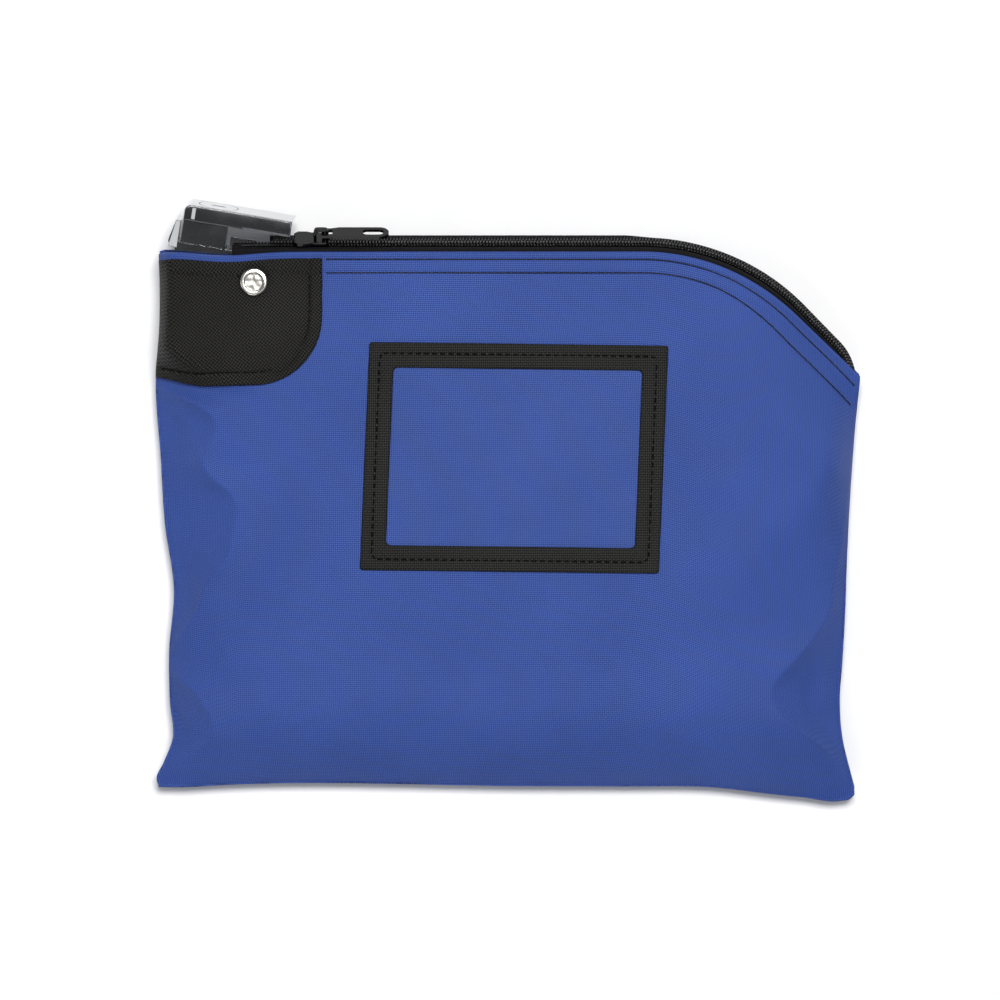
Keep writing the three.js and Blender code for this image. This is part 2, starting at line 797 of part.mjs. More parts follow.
// The closed outline of a thin strip whose middle runs through points of the band, out and up.
function stripOutline(station, path, half) {
  const end = path.length - 1;
  const sharpestMitre = 0.6;
  const normals = path.map((point, at) => {
    const before = path[Math.max(at - 1, 0)];
    const after = path[Math.min(at + 1, end)];
    const along = after.clone().sub(before).normalize();
    const leg = after.clone().sub(path[Math.min(at, end - 1)]);
    const square = Math.max(Math.abs(along.dot(leg.normalize())), sharpestMitre);
    return new THREE.Vector2(-along.y, along.x).multiplyScalar(half / square);
  });
  const above = path.map((point, at) => point.clone().add(normals[at]));
  const below = path.map((point, at) => point.clone().sub(normals[at])).reverse();
  return [...above, ...below].map((point) => bandPoint(station, point.x, point.y));
}

// A point of the chain's plane, out and up, at a distance across it.
function acrossChain(across) {
  return new THREE.Vector2(across * bandOut, -across * bandDown);
}

// The front tape, from the chain to just short of the front hem.
function frontTape() {
  const inner = -chainWidth / 2 - tapeGap;
  return alongMouth(frontChainStart, (station) => {
    const outer = -tapeReach * station.share + frontHemGap;
    return stripOutline(station, [acrossChain(inner), acrossChain(outer)], tapeThickness / 2);
  });
}

// The back tape runs on in the chain's plane, then turns in to the back panel's hem.
function backTape() {
  const inner = chainWidth / 2 + tapeGap;
  return alongMouth(backChainStart, (station) => {
    const bend = inner + (backBend - inner) * station.share ** 2;
    const drop = (chainLevel - backHemLevel - hemGap) * station.share;
    const hem = new THREE.Vector2(-backHemInset * station.share + backHemGap, -drop);
    return stripOutline(station, [acrossChain(inner), acrossChain(bend), hem], tapeThickness / 2);
  });
}

// The stop that closes the chain's lower end, in the last of the mouth's stretches.
function endStop() {
  const [before, last] = mouthStations(frontChainStart).slice(-2);
  const width = chainWidth / 2;
  const half = chainThickness / 2 + stopProud;
  const between = (share) => {
    const station = {};
    for (const key of Object.keys(last)) {
      station[key] = THREE.MathUtils.lerp(before[key], last[key], share);
    }
    return [
      chainPoint(station, -width, -half),
      chainPoint(station, width, -half),
      chainPoint(station, width, half),
      chainPoint(station, -width, half),
    ];
  };
  return loft([between(stopStart), between(1)]);
}

// Places something in the chain's frame on the straight stretch: x along the chain, y along the
// chain's normal and z towards the front tape.
function onChain(x) {
  const group = new THREE.Group();
  group.position.set(x, chainY, chainLevel);
  group.rotation.x = Math.PI / 2 - bandTilt;
  return group;
}

// The outline of a slider plate: a wide nose at the left and a narrow waist.
function sliderShape() {
  const half = sliderLength / 2;
  const shape = new THREE.Shape();
  const upper = [
    [-half, sliderNose / 2 - noseChamfer],
    [-half + noseChamfer, sliderNose / 2],
    [-half + noseLength, sliderNose / 2],
    [-half + waistStart, sliderWaist / 2],
    [half - tailChamfer, sliderWaist / 2],
    [half, sliderWaist / 2 - tailChamfer],
  ];
  const lower = upper.map(([x, y]) => [x, -y]).reverse();
  return new THREE.Shape([...upper, ...lower].map(([x, y]) => new THREE.Vector2(x, y)));
}

const plateLow = chainThickness / 2 + sliderGap;
const plateHigh = plateLow + sliderPlate;

// Two plates joined by a post between the coils, with flanges that close on the tapes.
function sliderBody() {
  const slab = (low, high) =>
    new THREE.ExtrudeGeometry(sliderShape(), { depth: high - low, bevelEnabled: false })
      .rotateX(-Math.PI / 2)
      .translate(0, low, 0);
  const half = sliderLength / 2 + through;
  const tunnel = chainWidth / 2 + sliderGap;
  const hollow = block([-half, -plateLow, -tunnel], [half, plateLow, tunnel]);
  const slots = block([-half, -tapeSlot, -sliderNose], [half, tapeSlot, sliderNose]);
  const postX = -sliderLength / 2 + postStart;
  const post = block(
    [postX, -plateLow - sunk, -postThickness / 2],
    [postX + postLength, plateLow + sunk, postThickness / 2],
  );
  const shell = carve(slab(-plateHigh, plateHigh), { cut: [hollow, slots] });
  return carve(shell, { join: [post] });
}

const bailLow = plateHigh + sliderGap;
const bailHigh = bailLow + bailRise;
const bailRight = bailStart + bailLength;

// The arched bail that holds the pull on the slider.
function bail() {
  const innerLeft = bailStart + bailThickness;
  const innerRight = bailRight - bailThickness;
  const innerTop = bailHigh - bailThickness;
  const shape = new THREE.Shape();
  shape.moveTo(bailStart, bailLow);
  shape.lineTo(bailStart, bailHigh - bailRound);
  shape.quadraticCurveTo(bailStart, bailHigh, bailStart + bailRound, bailHigh);
  shape.lineTo(bailRight - bailRound, bailHigh);
  shape.quadraticCurveTo(bailRight, bailHigh, bailRight, bailHigh - bailRound);
  shape.lineTo(bailRight, bailLow);
  shape.lineTo(innerRight, bailLow);
  shape.lineTo(innerRight, innerTop);
  shape.lineTo(innerLeft + bailInnerRound, innerTop);
  shape.lineTo(innerLeft, innerTop - bailInnerRound);
  shape.lineTo(innerLeft, bailLow);
  const options = { depth: bailWidth, bevelEnabled: false, curveSegments: 6 };
  return new THREE.ExtrudeGeometry(shape, options).translate(0, 0, -bailWidth / 2);
}

const pullPivot = bailRight - bailThickness - eyePlay;
const pullLevel = bailHigh - bailThickness - eyePlay;

// The pull: a flat tab whose cross bar runs under the bail, with a long hole at its far end.
function pullTab() {
  const half = pullWidth / 2;
  const eyeHalf = bailWidth / 2 + slide;
  const neck = eyeHalf + eyeArm;
  const shape = new THREE.Shape();
  shape.moveTo(-eyeBar / 2, -neck);
  shape.lineTo(eyeLength, -neck);
  shape.lineTo(eyeLength + pullTaper, -half);
  shape.lineTo(pullLength - half, -half);
  shape.absarc(pullLength - half, 0, half, -Math.PI / 2, Math.PI / 2, false);
  shape.lineTo(eyeLength + pullTaper, half);
  shape.lineTo(eyeLength, neck);
  shape.lineTo(-eyeBar / 2, neck);
  const slot = new THREE.Path();
  const end = pullHoleWidth / 2;
  const far = pullLength - half - pullHoleInset;
  const near = far - pullHole + pullHoleWidth;
  slot.absarc(far, 0, end, -Math.PI / 2, Math.PI / 2, false);
  slot.absarc(near, 0, end, Math.PI / 2, -Math.PI / 2, false);
  shape.holes.push(slot);
  const options = { depth: pullThickness, bevelEnabled: false, curveSegments: 14 };
  const tab = new THREE.ExtrudeGeometry(shape, options)
    .rotateX(-Math.PI / 2)
    .translate(0, -pullThickness / 2, 0);
  const window = block(
    [eyeBar / 2, -pullThickness, -eyeHalf],
    [eyeBar / 2 + eyeLength, pullThickness, eyeHalf],
  );
  return carve(tab, { cut: [window] });
}

// ---------------------------------------------------------------- lock

const pocketWidth = sliderNose + 2 * pocketSpare;
const throatWidth = sliderWaist + 2 * throatSpare;
const headLow = headLift;
const headHigh = headLift + headHeight;
const neckLeft = neckCentre - neckWidth / 2;
const neckRight = neckCentre + neckWidth / 2;
const neckHalf = neckDepth / 2;
const housingHalf = housingLength / 2;
const shellHalf = housingDepth / 2;

// Level of the housing's face where the rivet meets it, in the bag's frame.
function lockFace(front) {
  const side = front ? 1 : -1;
  const down = (rivetPlace.y - lockPlace.y) / Math.cos(lockLean);
  return lockPlace.z + side * shellHalf * Math.cos(lockLean) + down * Math.sin(lockLean);
}

// A hole for the rivet, in the lock's frame.
function rivetBore(depth) {
  const place = new THREE.Matrix4().makeTranslation(lockPlace.x, lockPlace.y, lockPlace.z);
  place.multiply(new THREE.Matrix4().makeRotationZ(lockSkew));
  place.multiply(new THREE.Matrix4().makeRotationX(lockLean));
  return rivetHole(depth).applyMatrix4(place.invert());
}

// The housing: a flat case with a well for the neck, a raised tongue under the head and a
// slanted ear at the left of the head.
function housing() {
  const shape = new THREE.Shape();
  const rightEnd = housingHalf - housingEnd;
  const earInner = -headLength / 2 - earGap;
  shape.moveTo(-housingHalf, -housingDrop);
  shape.lineTo(rightEnd, -housingDrop);
  shape.lineTo(rightEnd, 0);
  shape.lineTo(earInner, 0);
  shape.lineTo(earInner, headLow - earDrop);
  shape.lineTo(earInner - earTop, headLow - earDrop);
  shape.lineTo(-housingHalf - earReach, earFoot[0]);
  shape.lineTo(-housingHalf - earReach, earFoot[1]);
  shape.lineTo(-housingHalf, earFoot[2]);
  const body = new THREE.ExtrudeGeometry(shape, { depth: housingDepth, bevelEnabled: false });
  body.translate(0, 0, -shellHalf);
  const well = block(
    [neckLeft - slide, -housingDrop + housingWall, -neckHalf - slide],
    [neckRight + slide, through, neckHalf + slide],
  );
  const tongueStart = neckRight + slide + tongueGap;
  const tongue = block(
    [tongueStart, -sunk, -shellHalf + tongueBack],
    [tongueStart + tongueLength, tongueHeight, tongueFront],
  );
  const windowHalf = boltWidth / 2 + boltWindowSide;
  const boltWindow = block(
    [plugCentre - windowHalf, boltLevel - travel - boltWindowUnder, -shellHalf - through],
    [plugCentre + windowHalf, boltLevel + boltHeight + boltWindowOver, -neckHalf],
  );
  const bore = rivetBore(rivetShank + rivetClearance);
  return carve(body, { join: [tongue], cut: [well, boltWindow, bore] });
}

// The head: a bar with one round end, hollow underneath where the slider parks, on a square neck.
function lockHead() {
  const half = headLength / 2;
  const shape = new THREE.Shape();
  const inset = headBevel;
  shape.moveTo(-half + inset, headLow + inset);
  shape.lineTo(half - inset, headLow + inset);
  shape.lineTo(half - inset, headHigh - inset);
  shape.lineTo(-half + headRound, headHigh - inset);
  shape.quadraticCurveTo(-half + inset, headHigh - inset, -half + inset, headHigh - headRound);
  const top = new THREE.ExtrudeGeometry(shape, {
    depth: headDepth - 2 * inset,
    bevelEnabled: true,
    bevelThickness: inset,
    bevelSize: inset,
    bevelSegments: 3,
    curveSegments: 6,
  }).translate(0, 0, -headDepth / 2 + inset);
  const neck = block([neckLeft, -neckTail, -neckHalf], [neckRight, headLow + through, neckHalf]);
  const end = half + through;
  const pocketEnd = half - pocketWall;
  const pocket = block(
    [pocketEnd - pocketLength, headLow - through, -headDepth],
    [pocketEnd, headLow + pocketDepth, pocketWidth / 2],
  );
  const throat = block(
    [pocketEnd - pocketWall, headLow - through, -headDepth],
    [end, headLow + pocketDepth, throatWidth / 2],
  );
  const cheeks = block(
    [pocketEnd - sunk, headLow - through, -pocketWidth / 2],
    [end, headLow + cheekRaise, pocketWidth / 2],
  );
  const plugBore = bar(plugRadius + slide, headHigh + neckTail, plugCentre, boreFoot, 0);
  const faceSeat = bar(
    plugFaceRadius + slide,
    plugFaceThickness + slide + through,
    plugCentre,
    headHigh - plugFaceThickness - slide,
    0,
  );
  const camWell = bar(camRadius + slide, camWellHeight, plugCentre, camWellLevel, 0);
  const boltWay = block(
    [plugCentre - boltWidth / 2 - slide, boltLevel - slide, -neckHalf - through],
    [plugCentre + boltWidth / 2 + slide, boltLevel + boltHeight + slide, neckHalf + through],
  );
  const crankWay = bar(camRadius, crankWayHeight, plugCentre, crankWayLevel, 0);
  const cuts = [pocket, throat, cheeks, plugBore, faceSeat, camWell, boltWay, crankWay];
  const pinHole = through + pinLength + pinHoleSpare;
  for (let at = 0; at < pinCount; at += 1) {
    cuts.push(pinBar(pinRadius + pinClearance, plugRadius - through, pinHole - through, at));
  }
  return carve(top, { join: [neck], cut: cuts });
}

// A small bar that runs out from the plug's axis towards the left, for a pin or its hole.
function pinBar(radius, start, length, at) {
  return new THREE.CylinderGeometry(radius, radius, length, 16)
    .rotateZ(Math.PI / 2)
    .translate(plugCentre - start - length / 2, pinLevel + at * pinPitch, 0);
}

// The key plug: a round shank with a flat face, a keyway and a row of pin holes.
function keyPlug() {
  const shankLength = headHigh - plugFaceThickness - plugFoot;
  const shank = bar(plugRadius, shankLength, plugCentre, plugFoot, 0);
  const face = bar(
    plugFaceRadius,
    plugFaceThickness,
    plugCentre,
    headHigh - plugFaceThickness,
    0,
    40,
  );
  const keyway = block(
    [plugCentre - keywayLength / 2, headHigh - keywayDepth, -keywayWidth / 2],
    [plugCentre + keywayLength / 2, headHigh + through, keywayWidth / 2],
  );
  const tailLength = plugFoot - plugTailFoot + through;
  const tail = bar(plugTail, tailLength, plugCentre, plugTailFoot, 0, 16);
  const cuts = [keyway];
  const holeStart = keyPinInner - pinClearance;
  for (let at = 0; at < pinCount; at += 1) {
    cuts.push(pinBar(pinRadius + pinClearance, holeStart, plugRadius, at));
  }
  return carve(shank, { join: [face, tail], cut: cuts });
}

// The cam under the plug, with an off-centre pin that drives the bolt.
function cam() {
  const disc = bar(camRadius, camThickness, plugCentre, camLevel, 0);
  const arm = crankRadius * Math.SQRT1_2;
  const pin = bar(crankPinRadius, crankPinLength, plugCentre - arm, crankPinFoot, -arm, 16);
  return carve(disc, { join: [pin] });
}

// The bolt: a flat bar through the neck, with a cross slot for the cam's pin.
function bolt() {
  const back = -neckHalf - boltNose;
  const half = boltWidth / 2;
  const body = block(
    [plugCentre - half, boltLevel, back],
    [plugCentre + half, boltLevel + boltHeight, boltFront],
  );
  const arm = crankRadius * Math.SQRT1_2;
  const slotHalf = crankPinRadius + boltPlay;
  const slot = block(
    [plugCentre - crankRadius - slotHalf, boltLevel - through, -arm - slotHalf],
    [plugCentre - arm + slotHalf, boltLevel + boltHeight + through, -arm + slotHalf],
  );
  return carve(body, { cut: [slot] });
}

// A coil spring with its axis along Y between two levels.
function spring(low, high, x) {
  const half = springWire / 2;
  class Helix extends THREE.Curve {
    getPoint(t) {
      const turn = 2 * Math.PI * springTurns * t;
      const across = springRadius * Math.cos(turn);
      const out = springRadius * Math.sin(turn);
      return new THREE.Vector3(x + across, THREE.MathUtils.lerp(low + half, high - half, t), out);
    }
  }
  const section = new THREE.Shape();
  section.absarc(0, 0, half, 0, 2 * Math.PI, false);
  const options = {
    steps: springTurns * 12,
    bevelEnabled: false,
    extrudePath: new Helix(),
    curveSegments: 3,
  };
  return new THREE.ExtrudeGeometry(section, options);
}

// ---------------------------------------------------------------- assembly

function bagPieces() {
  const group = new THREE.Group();
  group.add(
    piece("front_panel", panel(true), cloth),
    piece("back_panel", panel(false), cloth),
    piece("front_corner_patch", patch(true), ballistic),
    piece("back_corner_patch", patch(false), ballistic),
    piece("window_frame", windowFrame(), ballistic),
    piece("window_film", windowFilm(), vinyl),
    piece("zipper_tape_front", frontTape(), ballistic),
    piece("zipper_tape_back", backTape(), ballistic),
    piece("zipper_coil_front", coil(true), coilPlastic),
    piece("zipper_coil_back", coil(false), coilPlastic),
    piece("zipper_end_stop", endStop(), coilPlastic),
    piece("rivet_front", rivet(true), chrome),
    piece("rivet_back", rivet(false), chrome),
  );
  return group;
}

function sliderPieces() {
  const group = onChain(sliderCentre);
  const pull = piece("pull_tab", pullTab(), blackMetal);
  pull.position.set(pullPivot, pullLevel, 0);
  group.add(piece("slider_body", sliderBody(), blackMetal));
  group.add(piece("slider_bail", bail(), blackMetal));
  group.add(pull);
  return group;
}

function lockPieces() {
  const group = new THREE.Group();
  group.position.copy(lockPlace);
  group.rotation.order = "ZXY";
  group.rotation.set(lockLean, 0, lockSkew);
  const springLow = -housingDrop + housingWall + slide;
  const springHigh = -neckTail - slide;
  group.add(
    piece("lock_housing", housing(), chrome),
    piece("lock_head", lockHead(), chrome),
    piece("key_plug", keyPlug(), chrome),
    piece("lock_cam", cam(), steel),
    piece("latch_bolt", bolt(), steel),
    piece("return_spring", spring(springLow, springHigh, neckCentre), steel),
  );
  for (let at = 0; at < pinCount; at += 1) {
    const keyPin = pinBar(pinRadius, keyPinInner, plugRadius - pinEnd - keyPinInner, at);
    const driverPin = pinBar(pinRadius, plugRadius + pinClearance, pinLength, at);
    group.add(piece(`key_pin_${at + 1}`, keyPin, brassPin));
    group.add(piece(`driver_pin_${at + 1}`, driverPin, brassPin));
  }
  return group;
}

const depositBag = new THREE.Group();
depositBag.add(bagPieces(), sliderPieces(), lockPieces());

export default depositBag;
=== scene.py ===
# %% [markdown]
# # A locking cash deposit bag
# The bag is two panels of laminated nylon sewn face to face and turned right side out. A coil zipper
# runs along its mouth, a black patch guards the lock's corner, and a framed window takes a card.
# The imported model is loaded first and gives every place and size. What is hard, such as the lock
# and the slider, stays as it is and gets bevels and a finish. What is soft is built here again.

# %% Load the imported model
import json
import math

import bmesh
import bpy
import numpy as np
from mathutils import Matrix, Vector
from mathutils.bvhtree import BVHTree


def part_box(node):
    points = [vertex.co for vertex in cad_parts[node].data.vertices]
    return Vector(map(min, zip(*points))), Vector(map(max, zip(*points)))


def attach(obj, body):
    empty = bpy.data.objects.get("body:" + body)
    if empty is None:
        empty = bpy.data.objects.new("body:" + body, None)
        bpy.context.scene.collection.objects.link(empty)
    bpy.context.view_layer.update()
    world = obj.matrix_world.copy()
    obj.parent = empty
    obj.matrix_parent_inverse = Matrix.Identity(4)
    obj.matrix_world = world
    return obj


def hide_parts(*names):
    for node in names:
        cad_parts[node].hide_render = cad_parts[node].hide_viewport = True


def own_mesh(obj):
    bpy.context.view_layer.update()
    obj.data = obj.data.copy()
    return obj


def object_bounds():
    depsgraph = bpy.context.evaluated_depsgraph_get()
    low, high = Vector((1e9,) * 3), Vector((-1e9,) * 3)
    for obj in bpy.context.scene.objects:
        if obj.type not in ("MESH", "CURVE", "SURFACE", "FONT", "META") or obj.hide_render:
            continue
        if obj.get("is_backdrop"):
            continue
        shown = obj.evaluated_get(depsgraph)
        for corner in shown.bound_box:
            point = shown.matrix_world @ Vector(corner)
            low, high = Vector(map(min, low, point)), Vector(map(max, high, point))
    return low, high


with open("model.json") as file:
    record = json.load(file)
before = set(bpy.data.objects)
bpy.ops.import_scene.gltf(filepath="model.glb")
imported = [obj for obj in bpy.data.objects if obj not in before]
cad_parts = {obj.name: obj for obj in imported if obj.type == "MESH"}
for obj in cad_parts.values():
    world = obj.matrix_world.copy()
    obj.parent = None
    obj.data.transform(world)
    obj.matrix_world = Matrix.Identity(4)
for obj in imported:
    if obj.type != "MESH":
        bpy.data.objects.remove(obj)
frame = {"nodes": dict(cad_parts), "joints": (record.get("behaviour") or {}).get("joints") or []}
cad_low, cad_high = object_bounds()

MM = 0.001
print("model's box in mm:", [round(x / MM, 1) for x in [*cad_low, *cad_high]])

# %% [markdown]
# Blender works in metres, but cloth, thread and hardware are thought of in millimetres. So every
# shape below is worked out in millimetres, in arrays, and one function turns it into a mesh.

# %% Sizes and ramps
def box_mm(node):
    """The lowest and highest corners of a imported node, in millimetres."""
    low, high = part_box(node)
    return np.array(low) / MM, np.array(high) / MM


def smooth(value):
    """A ramp from 0 to 1 that starts and ends level."""
    value = np.clip(value, 0, 1)
    return value * value * (3 - 2 * value)


def mix(a, b, share):
    return a + (b - a) * share


print("lock's head in mm:", np.ptp(box_mm("lock_head"), axis=0).round(1))

# %% A mesh that rides on a body
def piece(name, points, faces, finish, body="bag", replaces=(), marks=None):
    """Makes a mesh from points in millimetres, and says which body it rides on. marks are the
    cloth's own flat coordinates in millimetres, which the weaves read. They are given for one
    side of a sheet and serve both."""
    mesh = bpy.data.meshes.new(name)
    mesh.from_pydata((np.asarray(points, float) * MM).tolist(), [], faces)
    mesh.validate()
    shell = bmesh.new()  # turns every face outwards
    shell.from_mesh(mesh)
    bmesh.ops.recalc_face_normals(shell, faces=shell.faces)
    shell.to_mesh(mesh)
    shell.free()
    mesh.shade_smooth()
    if marks is not None:
        layer = mesh.attributes.new("cloth_mm", "FLOAT_VECTOR", "POINT")
        both_sides = np.tile(np.asarray(marks, np.float32).ravel(), 2)
        layer.data.foreach_set("vector", both_sides)
    mesh.materials.append(finish)
    made = bpy.data.objects.new(name, mesh)
    bpy.context.scene.collection.objects.link(made)
    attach(made, body)
    if replaces:
        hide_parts(*replaces)
    print(f"{name}: {len(mesh.vertices)} vertices")
    return made

# %% [markdown]
# Cloth has two faces and an edge, so each cloth is a closed sheet between two grids of points.
# Thread, filament and wire are tubes along a line. Subdivided primitives could give neither the
# bag's outline nor the turns of a coil.

# %% Grids, sheets and tubes
def quads(rows, columns, looped=False, start=0):
    """The faces of a grid of points, row after row. A looped grid joins its last column to
    its first."""
    last = columns if looped else columns - 1
    r, c = np.meshgrid(np.arange(rows - 1), np.arange(last), indexing="ij")
    here, beyond = r * columns + c, r * columns + (c + 1) % columns
    corners = np.stack([here, beyond, beyond + columns, here + columns], -1)
    return (corners.reshape(-1, 4) + start).tolist()


def sheet_between(top, bottom, looped=False):
    """The points and faces of a closed sheet between two matching grids (rows, columns, 3)."""
    rows, columns = top.shape[:2]
    count = rows * columns
    points = np.concatenate([top.reshape(-1, 3), bottom.reshape(-1, 3)])
    faces = quads(rows, columns, looped)
    faces += [f[::-1] for f in quads(rows, columns, looped, count)]
    grid = np.arange(count).reshape(rows, columns)
    edges = [(grid[0], True), (grid[-1], False)]
    if not looped:
        edges += [(grid[:, 0], False), (grid[:, -1], True)]
    for line, turned in edges:
        line = np.append(line, line[0]) if looped else line
        for a, b in zip(line[:-1].tolist(), line[1:].tolist()):
            quad = [a, b, b + count, a + count]
            faces.append(quad[::-1] if turned else quad)
    return points, faces


def tube(line, radius, sides=6, flat=1.0):
    """The points and faces of a round bar along a line of points. flat under 1 presses it."""
    line = np.asarray(line, float)
    along = np.gradient(line, axis=0)
    along /= np.linalg.norm(along, axis=1, keepdims=True)
    side = np.cross(along[0], [0.3, 0.2, 1.0])
    rings = []
    for at, direction in zip(line, along):
        side = side - direction * (side @ direction)
        side /= np.linalg.norm(side)
        up = np.cross(direction, side)
        turn = np.linspace(0, 2 * math.pi, sides, endpoint=False)[:, None]
        rings.append(at + radius * (np.cos(turn) * side + flat * np.sin(turn) * up))
    points = np.concatenate(rings)
    faces = quads(len(line), sides, looped=True)
    first = len(points) - sides
    faces += [list(range(sides))[::-1], [first + k for k in range(sides)]]
    return points, faces


def gather(parts):
    """Joins (points, faces) pairs into one pair."""
    points, faces, start = [], [], 0
    for some, their in parts:
        points.append(some)
        faces += [[k + start for k in f] for f in their]
        start += len(some)
    return np.concatenate(points), faces


# %% [markdown]
# Every finish is a Principled shader with nodes in front of it. Colours are written as sRGB hex, as
# a paint card gives them, and one function turns them to the linear values that Blender expects.

# %% Colours, nodes and finishes
def colour(code):
    """A hex colour as linear red, green, blue and alpha."""
    parts = [int(code[k:k + 2], 16) / 255 for k in (1, 3, 5)]
    return [*(p / 12.92 if p <= 0.04045 else ((p + 0.055) / 1.055) ** 2.4 for p in parts), 1.0]


def add(tree, kind, inputs=None, **settings):
    """Adds a node. inputs gives sockets a value, or the output, or the node whose first output
    feeds them."""
    made = tree.nodes.new("ShaderNode" + kind)
    for name, value in settings.items():
        setattr(made, name, value)
    for name, value in (inputs or {}).items():
        if isinstance(value, bpy.types.Node):
            value = value.outputs[0]
        if isinstance(value, bpy.types.NodeSocket):
            tree.links.new(value, made.inputs[name])
        else:
            made.inputs[name].default_value = value
    return made


def finish(name, **sockets):
    """A material named for its finish, with the shader's own sockets set."""
    made = bpy.data.materials.new(name)
    made.use_nodes = True
    shader = made.node_tree.nodes["Principled BSDF"]
    for socket, value in sockets.items():
        shader.inputs[socket.replace("_", " ")].default_value = value
    return made, made.node_tree, shader

# %% [markdown]
# A plain weave is two sets of round threads that pass over and under each other. Each thread is the
# upper half of a sine wave across its width, and a checkerboard says which thread is on top. The
# same height gives the bumps and the colour: painted shade in the gaps and a painted highlight on the
# threads' crowns, so colour and light agree.

# %% A weave
def weave(tree, warp, weft, wander=0.25):
    """A plain weave of threads that far apart, in millimetres: its height, and the cloth's marks.
    The threads wander a little, as real ones do."""
    marks = add(tree, "Attribute", attribute_name="cloth_mm").outputs["Vector"]
    noise = add(tree, "TexNoise", {"Vector": marks, "Scale": 0.35, "Detail": 2.0})
    shift = add(tree, "VectorMath", {0: noise.outputs["Color"], "Scale": wander}, operation="SCALE")
    moved = add(tree, "VectorMath", {0: marks, 1: shift})
    scaled = add(tree, "VectorMath", {0: moved, 1: (1 / warp, 1 / weft, 1)}, operation="MULTIPLY")
    axes = add(tree, "SeparateXYZ", {0: scaled})
    domes, cells = [], []
    for place in axes.outputs[:2]:
        angle = add(tree, "Math", {0: place, 1: math.pi}, operation="MULTIPLY")
        wave = add(tree, "Math", {0: angle}, operation="SINE")
        domes.append(add(tree, "Math", {0: wave}, operation="ABSOLUTE"))
        cells.append(add(tree, "Math", {0: place}, operation="FLOOR"))
    total = add(tree, "Math", {0: cells[0], 1: cells[1]})
    warp_on_top = add(tree, "Math", {0: total, 1: 2.0}, operation="FLOORED_MODULO")
    return add(tree, "Mix", {0: warp_on_top, 2: domes[0], 3: domes[1]}).outputs[0], marks


def surface(tree, shader, tone, height, depth):
    """Feeds the shader's colour, and its bumps from a height of that depth in millimetres."""
    tree.links.new(tone.outputs[0], shader.inputs["Base Color"])
    bump = add(tree, "Bump", {"Height": height, "Strength": 1.0, "Distance": depth * MM})
    tree.links.new(bump.outputs[0], shader.inputs["Normal"])


def woven(name, painted_gap_shade, light, warp, weft, depth, patchy=0.1, crown=1.0, **sockets):
    """A woven finish: painted shade in the gaps between threads, in one colour, and a painted
    highlight on the threads' crowns, in another. A higher crown keeps the painted highlight to the
    middle of each thread."""
    made, tree, shader = finish(name, **sockets)
    height, marks = weave(tree, warp, weft)
    top = add(tree, "Math", {0: height, 1: crown}, operation="POWER")
    # This mix paints shade into the gaps and a highlight onto the thread crowns, from the weave's height.
    ramp = add(tree, "Mix", {0: top, 6: colour(painted_gap_shade), 7: colour(light)}, data_type="RGBA")
    cloud = add(tree, "TexNoise", {"Vector": marks, "Scale": 0.02, "Detail": 3.0})
    shade = add(tree, "MapRange", {0: cloud, 1: 0.35, 2: 0.65, 3: 1 - patchy, 4: 1 + patchy})
    tone = add(tree, "VectorMath", {0: ramp.outputs[2], "Scale": shade}, operation="SCALE")
    surface(tree, shader, tone, height, depth)
    return made


# %% [markdown]
# ## The finishes
# The panels are nylon cloth laminated to a vinyl film inside, so the threads lie flat and the face
# has a low satin sheen. A real thread is about 0.5 mm wide. That is too fine to show from above, so
# the weave is drawn coarser, with threads 0.82 mm apart. The patch, the webbing and the tapes are
# drawn near their real 0.8 to 1.1 mm.

# %% Cloth finishes
# In each woven finish the first colour is painted shade in the gaps and the second a painted highlight on
# the thread crowns.
blue_cloth = woven("laminated nylon cloth, blue", "#172964", "#445FAB", 0.82, 0.82, 0.11, 0.05, 1.0,
                   Roughness=0.5, IOR=1.5, Specular_IOR_Level=0.12)
# Ballistic nylon has thick threads in a basket weave. Their crowns get a strong painted highlight
# and the gaps between them painted black shade.
ballistic = woven("ballistic nylon, black", "#010101", "#3A3A37", 1.05, 1.05, 0.28, 0.2, 4.5,
                  Roughness=0.55, IOR=1.5, Specular_IOR_Level=0.1)
webbing = woven("polypropylene webbing, black", "#030303", "#333331", 0.85, 1.0, 0.2, 0.08, 3.0,
                Roughness=0.6, IOR=1.49, Specular_IOR_Level=0.2)
tape_cloth = woven("woven polyester tape, black", "#060607", "#161618", 0.8, 0.8, 0.12, 0.05, 1.5,
                   Roughness=0.75, IOR=1.5, Specular_IOR_Level=0.15)
print("woven finishes:", [m.name for m in (blue_cloth, ballistic, webbing, tape_cloth)])

# %% [markdown]
# Thread is twisted, so it glints in short dashes along its length. The zipper's coil is a smooth
# moulded filament: nylon, a little glossy.

# %% Thread, coil and film finishes
def grained(name, base, spread, scale, depth, **sockets):
    """A finish whose colour, gloss and surface vary with a fine noise. scale is the grain's size
    and depth its height, in millimetres."""
    made, tree, shader = finish(name, **sockets)
    place = add(tree, "TexCoord").outputs["Object"]
    sized = add(tree, "VectorMath", {0: place, 1: [1 / (scale * MM)] * 3}, operation="MULTIPLY")
    noise = add(tree, "TexNoise", {"Vector": sized, "Scale": 1.0, "Detail": 4.0})
    shade = add(tree, "MapRange", {0: noise, 1: 0.3, 2: 0.7, 3: 1 - spread, 4: 1 + spread})
    tone = add(tree, "VectorMath", {0: colour(base)[:3], "Scale": shade}, operation="SCALE")
    rough = shader.inputs["Roughness"].default_value
    worn = add(tree, "MapRange", {0: noise, 1: 0.3, 2: 0.7, 3: rough * 0.8, 4: rough * 1.25})
    tree.links.new(worn.outputs[0], shader.inputs["Roughness"])
    surface(tree, shader, tone, noise.outputs[0], depth)
    return made


